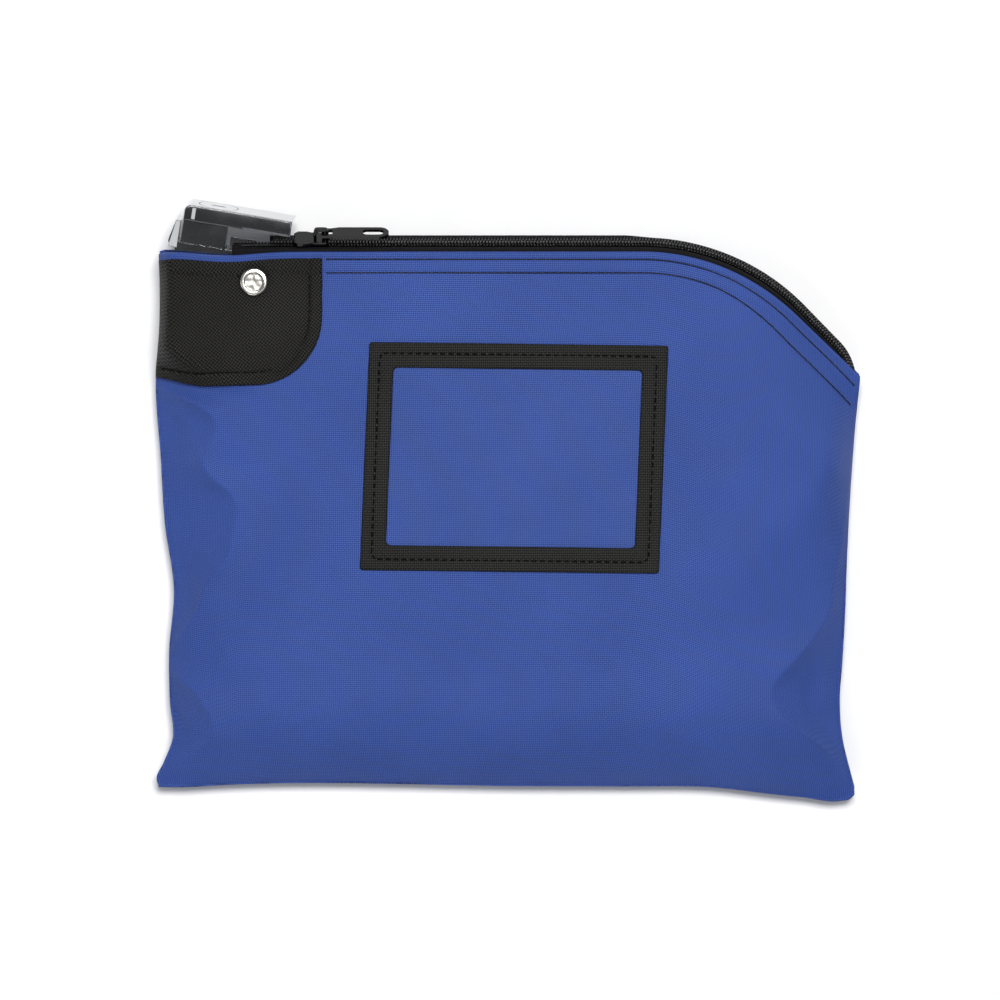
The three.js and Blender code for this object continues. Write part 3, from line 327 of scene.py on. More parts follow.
navy_thread = grained("polyester thread, navy", "#090D26", 0.3, 0.4, 0.02, Roughness=0.55)
black_thread = grained("polyester thread, black", "#020203", 0.3, 0.4, 0.02, Roughness=0.5,
                       Specular_IOR_Level=0.1)
coil_nylon = grained("moulded nylon filament, black", "#050506", 0.2, 0.8, 0.01, Roughness=0.16, IOR=1.53,
                     Specular_IOR_Level=0.6)
vinyl_film = grained("clear vinyl film", "#8FA6E0", 0.02, 6.0, 0.02, Roughness=0.2, IOR=1.54, Alpha=0.008)
print(len(bpy.data.materials), "finishes so far")

# %% [markdown]
# The lock is zinc, polished and plated with bright chrome, which mirrors whatever stands round it.
# The rivet is nickel plated, a shade warmer and softer. The slider is zinc with black enamel.

# %% Metal finishes
chrome = grained("bright chrome plate", "#C6C8CA", 0.01, 9.0, 0.004, Metallic=1.0, Roughness=0.09)
nickel = grained("nickel plate", "#DEDBD4", 0.02, 2.5, 0.004, Metallic=1.0, Roughness=0.16)
# A darker, rougher nickel for the rivet's sunk middle.
darker_rougher_nickel = grained("nickel plate, darker and rougher in the sunk middle", "#8F8D88", 0.3, 0.9, 0.05,
                      Metallic=1.0, Roughness=0.34)
black_enamel = grained("black enamel on zinc", "#050506", 0.1, 3.0, 0.02, Roughness=0.16, IOR=1.5,
                       Specular_IOR_Level=0.06, Coat_Weight=0.22, Coat_Roughness=0.03)
steel = grained("spring steel", "#9EA1A5", 0.08, 1.5, 0.01, Metallic=1.0, Roughness=0.35)
brass = grained("turned brass", "#B5964F", 0.06, 1.0, 0.01, Metallic=1.0, Roughness=0.3)
print(len(bpy.data.materials), "finishes")

# %% [markdown]
# ## The mouth's path
# Zipper, hems and topstitching all follow one line: straight along the top, round a wide corner,
# down a slope, and into the side seam. The slider sits in the middle of the chain, so its box gives
# the chain's place. The side seam's place comes from the front panel's box.

# %% The chain's middle line
SEAM_LEVEL = 7.0
BAND_TILT = math.radians(57)  # the chain's face leans back from level
TAPE_REACH = 7.0  # from the chain's middle to the front hem
CHAIN_WIDTH = 5.8
CURVE_RADIUS, CURVE_ANGLE, DIAGONAL, END_RADIUS = 90.0, math.pi / 4, 20.0, 20.0
MOUTH_TAPER, MOUTH_END = 60.0, 0.65  # the mouth gets shallower over its last stretch

panel_low, panel_high = box_mm("front_panel")
slider_middle = sum(box_mm("slider_body")) / 2
seam_x = panel_high[0]
chain_y, chain_level = slider_middle[1:]
bottom_y = panel_low[1]
path_end_x = seam_x - CHAIN_WIDTH / 2
curve_start = (path_end_x - CURVE_RADIUS * math.sin(CURVE_ANGLE) - DIAGONAL * math.cos(CURVE_ANGLE)
               - END_RADIUS * (1 - math.sin(CURVE_ANGLE)))
ARC = CURVE_RADIUS * CURVE_ANGLE
END_ARC = END_RADIUS * (math.pi / 2 - CURVE_ANGLE)
HEM_END = 14.5  # the hem doesn't turn in with the chain: it runs on down the slope to the seam


def mouth(start_x, step, to_seam=False, extra=0.0):
    """Points of the chain's middle line: x, y, heading, share of the mouth's depth, level and run.
    With to_seam the slope runs on straight, as the hem does."""
    straight = curve_start - start_x
    end = HEM_END + extra if to_seam else END_ARC
    total = straight + ARC + DIAGONAL + end
    run = np.linspace(0, total, int(total / step) + 2)
    bend = np.clip(run - straight, 0, ARC)
    slope = np.clip(run - straight - ARC, 0, DIAGONAL + (end if to_seam else 0))
    last = np.clip(run - straight - ARC - DIAGONAL, 0, 0 if to_seam else end)
    turn = bend / CURVE_RADIUS
    final = CURVE_ANGLE + last / END_RADIUS
    x = start_x + np.minimum(run, straight) + CURVE_RADIUS * np.sin(turn) + slope * math.cos(CURVE_ANGLE)
    x += END_RADIUS * (np.sin(final) - math.sin(CURVE_ANGLE))
    y = chain_y - CURVE_RADIUS * (1 - np.cos(turn)) - slope * math.sin(CURVE_ANGLE)
    y -= END_RADIUS * (math.cos(CURVE_ANGLE) - np.cos(final))
    near = smooth((total - extra - run) / MOUTH_TAPER)
    heading = np.where(last > 0, final, turn)
    return {"x": x, "y": y, "turn": heading, "share": mix(MOUTH_END, 1, near),
            "level": mix(SEAM_LEVEL, chain_level, near), "run": run}


def beside(line, out, up):
    """Points beside the middle line: outwards in plan, and up."""
    return np.stack([line["x"] + out * np.sin(line["turn"]), line["y"] + out * np.cos(line["turn"]),
                     line["level"] + up], -1)


def on_chain(line, across, lift):
    """Points in the chain's own plane: across it, positive towards the back, and off its face."""
    c, s = math.cos(BAND_TILT), math.sin(BAND_TILT)
    return beside(line, across * c + lift * s, -across * s + lift * c)


print("the chain's middle ends", round(seam_x - mouth(0, 1)["x"][-1], 3), "mm from the side seam")

# %% [markdown]
# ## The front panel
# The panel is a pillow: the filling lifts it, and its seams hold it down. It is built as one grid
# between four edges, the hem and the three seams, and each point gets its level from how far it is
# from each edge. A cloth simulation would puff it up too, but the folds would fall where they like.
# Folds are added as creases along lines, with one steep side and one gentle side.

# %% The panel's outline
hem_out = -TAPE_REACH * math.cos(BAND_TILT)
hem_up = TAPE_REACH * math.sin(BAND_TILT)
hem_y = chain_y + hem_out
left_top_x = -seam_x + 1.3

# How far the filling draws each side seam in, at shares of the height from the bottom seam up.
LEFT_DRAW = [(0, 0.9), (0.012, 0.0), (0.045, 2.9), (0.087, 6.3), (0.16, 5.3), (0.25, 5.0),
             (0.37, 6.9), (0.49, 3.4), (0.62, 1.6), (0.76, -0.3), (0.86, 1.2), (1, 1.3)]
RIGHT_DRAW = [(0, 1.6), (0.03, 3.3), (0.09, 6.3), (0.165, 7.4), (0.23, 6.4), (0.32, 5.3), (0.43, 4.5),
              (0.65, 1.7), (0.76, -0.3), (1, 0)]
# How far the bottom seam sags below its middle, at shares of the width.
BOTTOM_SAG = [(0, 0.4), (0.04, 0.5), (0.09, -0.3), (0.54, 0.1), (0.66, 0.2), (0.80, 0.7), (0.875, 3.2),
              (0.92, 4.5), (0.975, 5.9), (0.99, 4.8), (1, 1.2)]


def table(rows, at):
    """A smooth curve through a table's rows."""
    x, y = np.array(rows, float).T
    slope = np.gradient(y, x)
    k = np.clip(np.searchsorted(x, at, side="right") - 1, 0, len(x) - 2)
    width = x[k + 1] - x[k]
    t = np.clip((at - x[k]) / width, 0, 1)
    return ((1 + 2 * t) * (1 - t) ** 2 * y[k] + t * (1 - t) ** 2 * width * slope[k]
            + t * t * (3 - 2 * t) * y[k + 1] + t * t * (t - 1) * width * slope[k + 1])


def left_seam(y):
    return -seam_x + table(LEFT_DRAW, (y - bottom_y) / (hem_y - bottom_y))


def right_seam(y):
    return seam_x - table(RIGHT_DRAW, (y - bottom_y) / (hem_y - bottom_y))


def bottom_seam(x):
    return bottom_y - table(BOTTOM_SAG, (x + seam_x) / (2 * seam_x))


def from_seams(x, y):
    """How far a point is from the nearest of the three seams."""
    return np.minimum(np.minimum(x - left_seam(y), right_seam(y) - x), y - bottom_seam(x))


print("bag's outline in mm:", round(2 * seam_x, 1), "by", round(hem_y - bottom_y, 1), "to the hem")

# %% The panel's grid in plan
COLUMNS, ROWS = 300, 220
hem_line = mouth(left_top_x + 2.0, 0.5, to_seam=True)
pick = np.linspace(0, len(hem_line["x"]) - 1, COLUMNS)
hem_line = {k: np.interp(pick, np.arange(len(v)), v) for k, v in hem_line.items()}
lock_low, lock_high = box_mm("lock_head")
lock_x = (lock_low[0] + lock_high[0]) / 2
LOCK_DIP = 1.5  # the hem hangs a little where the lock's weight pulls on it


def hem_curve(line, out, up):
    """The front hem: beside the chain, with a dip at the lock."""
    made = beside(line, out * line["share"], up * line["share"])
    made[:, 1] -= LOCK_DIP * np.exp(-((made[:, 0] - lock_x + 4) / 15) ** 2)
    corner = smooth((made[:, 0] + seam_x) / 9.0)
    made[:, 2] = mix(SEAM_LEVEL + 3.5, made[:, 2], corner)
    return made


def panel_plan(top):
    """A grid in plan between the hem and the three seams."""
    across = hem_line["run"] / hem_line["run"][-1]
    down = np.linspace(0, 1, ROWS) ** 1.08
    u, v = np.meshgrid(across, down)
    bottom_x = mix(left_seam(bottom_y), right_seam(bottom_y), across)
    foot = np.stack([bottom_x, bottom_seam(bottom_x)], -1)
    left_y = mix(top[0, 1], foot[0, 1], down)
    right_y = mix(top[-1, 1], foot[-1, 1], down)
    left = np.stack([left_seam(left_y), left_y], -1)
    right = np.stack([right_seam(right_y), right_y], -1)
    left[0], right[0] = top[0, :2], top[-1, :2]
    plan = ((1 - v)[..., None] * top[None, :, :2] + v[..., None] * foot[None]
            + (1 - u)[..., None] * left[:, None] + u[..., None] * right[:, None])
    corners = [((1 - u) * (1 - v), top[0, :2]), (u * (1 - v), top[-1, :2]),
               ((1 - u) * v, foot[0]), (u * v, foot[-1])]
    for weight, place in corners:
        plan -= weight[..., None] * place
    return plan


front_hem = hem_curve(hem_line, hem_out, hem_up)
plan = panel_plan(front_hem)
print("front panel in plan:", plan.min((0, 1)).round(1), "to", plan.max((0, 1)).round(1))

# %% The panel's levels
CROWN = box_mm("front_panel")[1][2]
HEM_RUN = 47.0  # how far below the hem the crown is reached
HEM_GRIP = 7.0  # how far the stiff hem holds the cloth level
# How far in from the seams the crown is reached: at the sides, by the lock, by the slope, below.
SIDE_RUN, LOCK_RUN, SLOPE_RUN, BOTTOM_RUN = 44.0, 7.0, 14.0, 38.0

# How far in from each side seam the cloth breaks from the flat top into a slope, at shares of the
# height from the bottom seam up. Between these lines and the seams the slope is nearly straight.
LEFT_CREST = [(0, 0), (0.034, 6.5), (0.06, 10), (0.087, 15), (0.122, 16.5), (0.169, 12), (0.208, 4),
              (0.232, 0.5), (0.27, 3), (0.318, 9), (0.343, 11.5), (0.372, 12.5), (0.434, 24),
              (0.483, 28), (0.516, 30), (0.544, 28.5), (0.578, 21), (0.607, 17), (0.641, 21),
              (0.679, 24), (0.72, 15), (0.751, 0), (1, 0)]
RIGHT_CREST = [(0, 3), (0.049, 5), (0.083, 11), (0.105, 17), (0.133, 24), (0.169, 28.5),
               (0.195, 27.5), (0.228, 22), (0.275, 13.5), (0.327, 7), (0.38, 5.5), (0.45, 3), (1, 2)]


def crowned(value):
    """A ramp from 0 to 1 that starts steep and ends level, as blown-up cloth does."""
    return 1 - (1 - np.clip(value, 0, 1)) ** 2.2


def broken(distance, crest, run):
    """0 at a seam and 1 on the flat: a straight slope up to the crest line, then a soft crown."""
    crest = np.maximum(crest, 0.01)
    at_crest = crowned(crest / (0.62 * run))
    slope = np.clip(distance / crest, 0, 1) ** 1.1 * at_crest
    beyond = at_crest + (1 - at_crest) * crowned((distance - crest) / run)
    return np.where(distance < crest, slope, beyond)


def pillow(plan, hem):
    """Level of each grid point from its distances to the hem and the seams, and how far it is
    from the hem."""
    x, y = plan[..., 0], plan[..., 1]
    from_hem = np.hypot(x - hem[None, :, 0], y - hem[None, :, 1])
    share = (y - bottom_y) / (hem_y - bottom_y)
    # Beside the lock, and on the slope's side, the cloth rises steeply.
    steep = smooth((y - (chain_y - 62)) / 22)
    left = broken(x - left_seam(y), table(LEFT_CREST, share), mix(SIDE_RUN, LOCK_RUN, steep))
    right = broken(right_seam(y) - x, table(RIGHT_CREST, share),
                   mix(SIDE_RUN, SLOPE_RUN, smooth((y + 30) / 50)))
    foot = crowned((y - bottom_seam(x)) / BOTTOM_RUN)
    held = np.exp(-(from_hem / HEM_GRIP) ** 2)
    left, right = mix(left, 1, held), mix(right, 1, held)
    top = mix(hem[None, :, 2], CROWN - 0.6, smooth(from_hem / HEM_RUN))
    return SEAM_LEVEL + (top - SEAM_LEVEL) * left * right * foot, from_hem


level, from_hem = pillow(plan, front_hem)

# %% [markdown]
# A fold in laminated cloth isn't a soft wave. The stiff film lets it bend only along lines, so one
# side is a flat facet and the other drops away. Each fold here is a line of points with a depth and
# two widths, one for each side. Minus depths are pockets and plus depths are ridges.

# %% Folds
FOLDS = [
    # depth, width left of the line, width right of it, the line's points
    (1.3, 4, 5, [(-133, 44), (-126, 36), (-121, 26)]),
    (-1.2, 4, 5, [(-136, -12), (-128, -26), (-127, -38)]),
    (1.2, 4, 4, [(-134, -66), (-128, -78), (-124, -86)]),
    (1.8, 4, 4, [(125, -56), (127, -68), (127, -80)]),
    (-1.4, 5, 4, [(118, -66), (121, -80), (128, -90)]),
    (1.4, 6, 8, [(137, -108), (128, -100), (117, -93), (104, -88)]),
    (-1.0, 9, 8, [(86, -94), (98, -99), (112, -104)]),
    (-0.8, 10, 14, [(60, 62), (72, 30), (80, 2), (82, -22)]),
    (0.7, 12, 12, [(44, 78), (54, 84), (60, 60)]),
    (-0.8, 12, 16, [(-70, 70), (-52, 52), (-62, 30), (-74, 8)]),
    (0.7, 14, 14, [(-52, 92), (-38, 82), (-20, 70)]),
    (-0.8, 9, 12, [(-78, -20), (-60, -40), (-36, -52), (-8, -60)]),
    (0.8, 12, 14, [(-88, -52), (-66, -66), (-40, -76)]),
    (-0.7, 12, 12, [(20, -52), (44, -62), (66, -58), (84, -44)]),
    (0.7, 14, 14, [(30, -80), (52, -84), (74, -76)]),
]
print(len(FOLDS), "folds")

# %% The shape of one fold
def fold(x, y, depth, left, right, line):
    """One fold's levels: a bell across its line that fades out at both ends."""
    shares = np.linspace(0, 1, len(line))
    t = np.linspace(0, 1, 41)
    spline = np.stack([table(np.stack([shares, knots], 1), t) for knots in np.array(line, float).T], 1)
    nearest = np.full(x.shape, 1e9)
    side = np.zeros_like(x)
    place = np.zeros_like(x)
    for k in range(len(t) - 1):
        a, b = spline[k], spline[k + 1]
        d = b - a
        s = np.clip(((x - a[0]) * d[0] + (y - a[1]) * d[1]) / (d @ d), 0, 1)
        gap_x, gap_y = x - a[0] - s * d[0], y - a[1] - s * d[1]
        gap = np.hypot(gap_x, gap_y)
        closer = gap < nearest
        nearest = np.where(closer, gap, nearest)
        side = np.where(closer, np.sign(d[0] * gap_y - d[1] * gap_x), side)
        place = np.where(closer, (k + s) / (len(t) - 1), place)
    width = np.where(side > 0, left, right)
    fade = np.sin(math.pi * np.clip(0.08 + 0.84 * place, 0, 1)) ** 0.8
    return depth * fade * np.exp(-(nearest / width) ** 1.5)

# %% Calm seams, uneven cloth
def calm(x, y):
    """1 on open cloth and 0 at the seams, where the stitching holds it."""
    return smooth(from_seams(x, y) / 8)


def waves(x, y, seed, size):
    """A slow unevenness: a few sine waves in seeded directions."""
    rng = np.random.default_rng(seed)
    total = np.zeros_like(x)
    for k in range(14):
        angle, phase = rng.uniform(0, math.pi), rng.uniform(0, 2 * math.pi)
        length = size * rng.uniform(0.6, 1.8)
        run = x * math.cos(angle) + y * math.sin(angle)
        total += np.sin(run * 2 * math.pi / length + phase) * length / size
    return total / 14


def shaped(x, y):
    """Folds, a slow unevenness and the pucker at the seams, together."""
    folds = sum(fold(x, y, *f) for f in FOLDS)
    slow = 0.9 * waves(x, y, 3, 55) + 0.28 * waves(x, y, 8, 21)
    # Wrinkles pull in towards the seams, short and close together.
    ripple = np.sin(y / 2.9 + 1.3 * np.sin(x / 9)) * 0.5 + np.sin(x / 3.4 + 1.1 * np.sin(y / 11)) * 0.5
    return folds + slow + 0.5 * np.exp(-((from_seams(x, y) - 5) / 7) ** 2) * ripple

# %% The folded levels
x, y = plan[..., 0], plan[..., 1]
near_lock = smooth((x - left_seam(y)) / 4) * smooth((-60 - x) / 14) * smooth((y - 58) / 14)
free = calm(x, y) * smooth((from_hem - 2) / 14)
level = level + shaped(x, y) * free * (1 - 0.85 * near_lock)
level = np.minimum(level, CROWN + 1.5)
print("front panel's levels:", level.min().round(2), "to", level.max().round(2))

# %% [markdown]
# Topstitching pulls the cloth down into a shallow groove. Two rows run below the hem, and the cloth
# between the rows and the hem is doubled, so it stands a little proud.

# %% Hem and stitch grooves
STITCH_ROWS = (3.2, 8.5)  # below the hem
for row in STITCH_ROWS:
    level = level - 0.45 * np.exp(-((from_hem - row) / 0.8) ** 2) * calm(x, y)
level = level + 0.35 * (1 - smooth((from_hem - 8.3) / 1.2))  # the doubled cloth
level = level - 0.9 * (1 - np.clip(from_hem / 1.4, 0, 1)) ** 2  # the hem's rounded edge
outer = np.dstack([x, y, level])
print("rows of stitches, mm below the hem:", STITCH_ROWS)

# %% The front panel as a mesh
CLOTH = 0.9


def offset(grid, distance):
    """The grid moved along its own normals."""
    d_down, d_across = np.gradient(grid, axis=(0, 1))
    normal = np.cross(d_down, d_across)
    normal /= np.maximum(np.linalg.norm(normal, axis=-1, keepdims=True), 1e-9)
    return grid + normal * distance


def upright(grid):
    """1 if the grid's normals point up, or -1."""
    middle = offset(grid, 1.0) - grid
    return np.sign(middle[grid.shape[0] // 2, grid.shape[1] // 2, 2])


def flat_marks(grid):
    """Flat cloth coordinates: distances along the rows and down the columns."""
    step_x = np.linalg.norm(np.diff(grid, axis=1), axis=-1)
    step_y = np.linalg.norm(np.diff(grid, axis=0), axis=-1)
    u = np.concatenate([np.zeros((len(grid), 1)), np.cumsum(step_x, 1)], 1)
    u -= u[:, grid.shape[1] // 2][:, None]
    v = np.concatenate([np.zeros((1, grid.shape[1])), np.cumsum(step_y, 0)], 0)
    return np.dstack([u, v, np.zeros_like(u)])


inner = offset(outer, -CLOTH * upright(outer))
points, faces = sheet_between(outer, inner)
piece("front_panel_cloth", points, faces, blue_cloth, replaces=["front_panel"],
      marks=flat_marks(outer))
front_tree = BVHTree.FromPolygons(outer.reshape(-1, 3).tolist(), quads(*outer.shape[:2]))


def drop(px, py):
    """Where a point in plan meets the front panel, and the panel's normal there."""
    place, normal, _, _ = front_tree.ray_cast(Vector((px, py, 200)), Vector((0, 0, -1)))
    if place is None:
        place, normal, _, _ = front_tree.find_nearest(Vector((px, py, SEAM_LEVEL + 3)))
    normal = normal if normal.z > 0 else -normal
    return np.array(place), np.array(normal)

# %% [markdown]
# ## The back panel
# The back panel lies flat where the bag rests on it, and curves up to the same seams as the front.

# %% The back panel as a mesh
BACK_HEM_OUT, BACK_HEM_LEVEL = -2.5, 5.0
BACK_RUN = 20.0
share = hem_line["share"]
back_top = beside(hem_line, BACK_HEM_OUT * share, (BACK_HEM_LEVEL - chain_level) * share)
corner = smooth((back_top[:, 0] + seam_x) / 9.0)
back_top[:, 2] = mix(SEAM_LEVEL + 3.0, back_top[:, 2], corner)
back_plan = panel_plan(back_top)
bx, by = back_plan[..., 0], back_plan[..., 1]
edge = from_seams(bx, by)
from_back_hem = np.hypot(bx - back_top[None, :, 0], by - back_top[None, :, 1])
rise = 1 - crowned(edge / BACK_RUN)
hem_rise = 1 - crowned(from_back_hem / 26)
back_level = np.maximum(SEAM_LEVEL * rise, mix(0.0, back_top[None, :, 2], hem_rise))
back_level = mix(back_level, back_top[None, :, 2], np.exp(-(from_back_hem / 4) ** 2))
unevenness = 0.35 * waves(bx, by, 5, 26) + 0.3
back_level = back_level + unevenness * smooth(edge / 8) * smooth(from_back_hem / 8)
over_patch = smooth((-seam_x + 80 - bx) / 12) * smooth((by - (hem_y - 66)) / 12)
back_level = np.maximum(back_level, 1.3 * over_patch)
back_level = np.maximum(back_level, 0.02)
back_outer = np.dstack([bx, by, back_level])
back_inner = offset(back_outer, CLOTH * upright(back_outer))
points, faces = sheet_between(back_inner, back_outer)
piece("back_panel_cloth", points, faces, blue_cloth, replaces=["back_panel"],
      marks=flat_marks(back_outer))

# %% [markdown]
# ## Stitching
# Each stitch is a short length of thread that comes up out of the cloth, lies on it and dives down
# again. They are laid one by one along a line, so that they catch the light as real thread does.

# %% A row of stitches
def along(line, spacing):
    """Points at an even spacing along a line in plan."""
    line = np.asarray(line, float)
    run = np.concatenate([[0], np.cumsum(np.linalg.norm(np.diff(line, axis=0), axis=1))])
    at = np.arange(0, run[-1], spacing)
    return np.stack([np.interp(at, run, line[:, k]) for k in range(line.shape[1])], -1)


def stitches(line, pitch, thread, lift, share=0.8):
    """Stitches of that pitch and thread width along a line in plan, on the front panel."""
    spots = along(line, pitch)
    arch = ((0, -0.45), (0.12, 0.35), (0.5, 0.62), (0.88, 0.35), (1, -0.45))
    parts = []
    for a, b in zip(spots[:-1], spots[1:]):
        first, last = mix(a, b, (1 - share) / 2), mix(a, b, (1 + share) / 2)
        thread_line = []
        for t, rise in arch:
            place, normal = drop(*mix(first, last, t))
            thread_line.append(place + normal * (lift + rise * thread))
        parts.append(tube(thread_line, thread / 2, 6, 0.85))
    return gather(parts)


line = mouth(-seam_x + 68, 1.0, to_seam=True, extra=12)
edge_line = hem_curve(line, hem_out, hem_up)[:, :2]
inward = np.stack([-np.sin(line["turn"]), -np.cos(line["turn"])], -1)
wider = 1 + 0.25 * smooth((line["run"] - line["run"][-1] + 92) / 60)  # rows spread on the slope
rows = []
for row in STITCH_ROWS:
    place = edge_line + inward * row * wider[:, None]
    inside = place[:, 0] < right_seam(place[:, 1]) - 0.4
    rows.append(stitches(place[inside], 3.1, 0.55, 0.05, 0.97))
points, faces = gather(rows)
piece("hem_topstitching", points, faces, navy_thread)

# %% [markdown]
# ## The corner patch
# The patch is ballistic nylon with its edge turned under, so its border is thicker and rounded. It
# follows the cloth below it. One row of thread runs inside the border. It is a grid between the side
# seam and its own right edge, which ends in a large round corner.

# %% The front patch
PATCH_WIDTH, PATCH_DROP, PATCH_CORNER, PATCH_THICK = 66.5, 53.0, 27.0, 0.95
PATCH_ROOT = 0.2  # how deep its underside sits in the cloth below
PATCH_INSET = 5.0  # the stitches' distance from its edge
patch_right = -seam_x + PATCH_WIDTH
patch_foot = hem_y - PATCH_DROP


def patch_edge(y):
    """The patch's right edge at a height."""
    below = np.clip(patch_foot + PATCH_CORNER - y, 0, PATCH_CORNER)
    return patch_right - PATCH_CORNER + np.sqrt(PATCH_CORNER ** 2 - below ** 2)


def edge_height(distance, soft=0.5):
    """Rounded border: full thickness a little way in from the edge."""
    return np.sqrt(np.clip(1 - (1 - np.clip(distance / soft, 0, 1)) ** 2, 0, 1))


patch_rows, patch_columns = 110, 130
a, b = np.meshgrid(np.linspace(0, 1, patch_columns),
                   1 - np.cos(np.linspace(0, math.pi / 2, patch_rows)))
top_y = hem_y - STITCH_ROWS[0]
py = mix(top_y, patch_foot, np.sin(b * math.pi / 2))
px_right, px_left = patch_edge(py), left_seam(py) + 0.15
px = mix(px_left, px_right, a ** 0.9)
dip = LOCK_DIP * np.exp(-((px - lock_x + 4) / 15) ** 2) * smooth((py - patch_foot) / 40)
slant = 3.4 * (1 - smooth((px + seam_x) / 20)) * smooth(1 - (py - patch_foot) / 14)
py = py - dip + slant
patch_top = np.zeros((*px.shape, 3))
patch_low = np.zeros_like(patch_top)
right_gap = np.abs(px_right - px)
foot_gap = np.abs(py - slant - patch_foot)
border = np.minimum(np.minimum(right_gap, foot_gap), 9)
thick = PATCH_THICK * edge_height(border, 0.7)
thick = thick + 0.25 * (1 - smooth(border - 4.0))  # the edge is turned under, so it is thicker
thick = thick - 0.55 * np.exp(-((border - PATCH_INSET) / 0.6) ** 2)  # the stitches' groove
thick = thick * smooth(np.abs(px - px_left) / 1.5) + 0.25  # thin where the seam takes it in
rivet_low, rivet_high = box_mm("rivet_front")
rivet_middle = (rivet_low + rivet_high) / 2
from_rivet = np.hypot(px - rivet_middle[0], py - rivet_middle[1])
thick = thick - 0.75 * (1 - smooth((from_rivet - 5.2) / 2.2))  # the rivet presses the cloth in
for spot in np.ndindex(px.shape):
    place, normal = drop(px[spot], py[spot])
    patch_top[spot] = place + normal * thick[spot]
    patch_low[spot] = place - normal * PATCH_ROOT
points, faces = sheet_between(patch_top, patch_low)
# The patch was cut on the bias, so its threads run slantwise.
slantwise = math.radians(38)
patch_marks = np.dstack([px * math.cos(slantwise) - py * math.sin(slantwise),
                         px * math.sin(slantwise) + py * math.cos(slantwise), 0 * px])
piece("front_patch_cloth", points, faces, ballistic, replaces=["front_corner_patch"],
      marks=patch_marks)

# %% Its stitching
turn = np.linspace(0, math.pi / 2, 30)
radius = PATCH_CORNER - PATCH_INSET
corner_x, corner_y = patch_right - PATCH_CORNER, patch_foot + PATCH_CORNER
round_line = np.stack([corner_x + radius * np.cos(turn), corner_y - radius * np.sin(turn)], -1)
border_line = np.concatenate([
    [(left_seam(hem_y - 9) + 8, hem_y - 9.3), (lock_x, hem_y - 10.0),
     (patch_right - PATCH_INSET, hem_y - 8.5)],
    round_line,
    [(corner_x - 24, patch_foot + PATCH_INSET),
     (left_seam(patch_foot) + 1.5, patch_foot + PATCH_INSET + 2.6)],
])
points, faces = stitches(border_line, 3.3, 0.5, PATCH_THICK - 0.2, 0.8)
piece("front_patch_stitching", points, faces, black_thread)

# %% [markdown]
# The back has the same patch, which lies pressed into the flat back panel.

# %% The back patch
back_tree = BVHTree.FromPolygons(back_outer.reshape(-1, 3).tolist(), quads(*back_outer.shape[:2]))
outside, inside = np.zeros_like(patch_top), np.zeros_like(patch_top)
for spot in np.ndindex(px.shape):
    below = Vector((px[spot] + 0.3, py[spot], -50))
    place, normal, _, _ = back_tree.ray_cast(below, Vector((0, 0, 1)))
    if place is None:
        place, normal, _, _ = back_tree.find_nearest(Vector((px[spot], py[spot], SEAM_LEVEL)))
    normal = np.array(normal) * (1 if normal.z < 0 else -1)
    outside[spot] = np.array(place) + normal * min(thick[spot], 0.9)
    inside[spot] = np.array(place) - normal * PATCH_ROOT
outside[..., 2] = np.maximum(outside[..., 2], 0.05)
points, faces = sheet_between(inside, outside)
piece("back_patch_cloth", points, faces, ballistic, replaces=["back_corner_patch"],
      marks=patch_marks)

# %% [markdown]
# ## The card window
# The frame is webbing folded round a clear film. It is modelled as one ring: a path round the window
# times a profile across the webbing, which is thick in the middle and rounded at both edges.

# %% Its path
frame_low, frame_high = box_mm("window_frame")
window_middle = ((frame_low + frame_high) / 2)[:2]
WINDOW_SIZE = np.array([118.0, 90.0])
WEBBING, WEBBING_THICK = 10.0, 1.0
WINDOW_TURN, WINDOW_LEAN = math.radians(-0.7), 0.03  # sewn on a little out of square


def rounded_box(size, radius, steps=5, straight=26):
    """Points round a rectangle with round corners, anticlockwise."""
    half = size / 2 - radius
    corners = [(1, 1), (-1, 1), (-1, -1), (1, -1)]
    found = []
    for k in range(4):
        middle, after = half * corners[k], half * corners[(k + 1) % 4]
        for turn in np.linspace(k, k + 1, steps) * math.pi / 2:
            spoke = radius * np.array([math.cos(turn), math.sin(turn)])
            found.append(middle + spoke)
        for t in np.linspace(0, 1, straight + 2)[1:-1]:
            found.append(mix(middle, after, t) + spoke)
    return np.array(found)


def placed(points):
    """Turns, leans and moves points of the window onto the bag."""
    c, s = math.cos(WINDOW_TURN), math.sin(WINDOW_TURN)
    leaned = points + points[..., 1:] * (WINDOW_LEAN, 0)
    return leaned @ np.array([[c, s], [-s, c]]) + window_middle


outside = rounded_box(WINDOW_SIZE, 1.2)
inside = rounded_box(WINDOW_SIZE - 2 * WEBBING, 1.8)
print("window opening in mm:", np.ptp(inside, axis=0).round(1))

# %% The frame
ACROSS_WEBBING = [0, 0.02, 0.06, 0.14, 0.25, 0.36, 0.44, 0.5, 0.56, 0.66, 0.78, 0.88, 0.95, 0.985, 1]
STITCHED_AT = 0.44  # share of the webbing's width where the stitching pulls it down
top, low, marks = [], [], []
for share in ACROSS_WEBBING:
    ring = placed(mix(outside, inside, share))
    height = WEBBING_THICK * edge_height(min(share, 1 - share) * WEBBING, 0.8)
    height -= 0.5 * math.exp(-((share - STITCHED_AT) * WEBBING / 0.6) ** 2)
    dropped = [drop(*at) for at in ring]
    top.append([place + normal * (height + 0.25) for place, normal in dropped])
    low.append([place - normal * 0.1 for place, normal in dropped])
    marks.append(np.column_stack([ring, 0 * ring[:, 0]]))
points, faces = sheet_between(np.array(top), np.array(low), looped=True)
piece("window_frame_webbing", points, faces, webbing, replaces=["window_frame"],
      marks=marks)
stitch_ring = placed(rounded_box(WINDOW_SIZE - 2 * STITCHED_AT * WEBBING, 0.6))
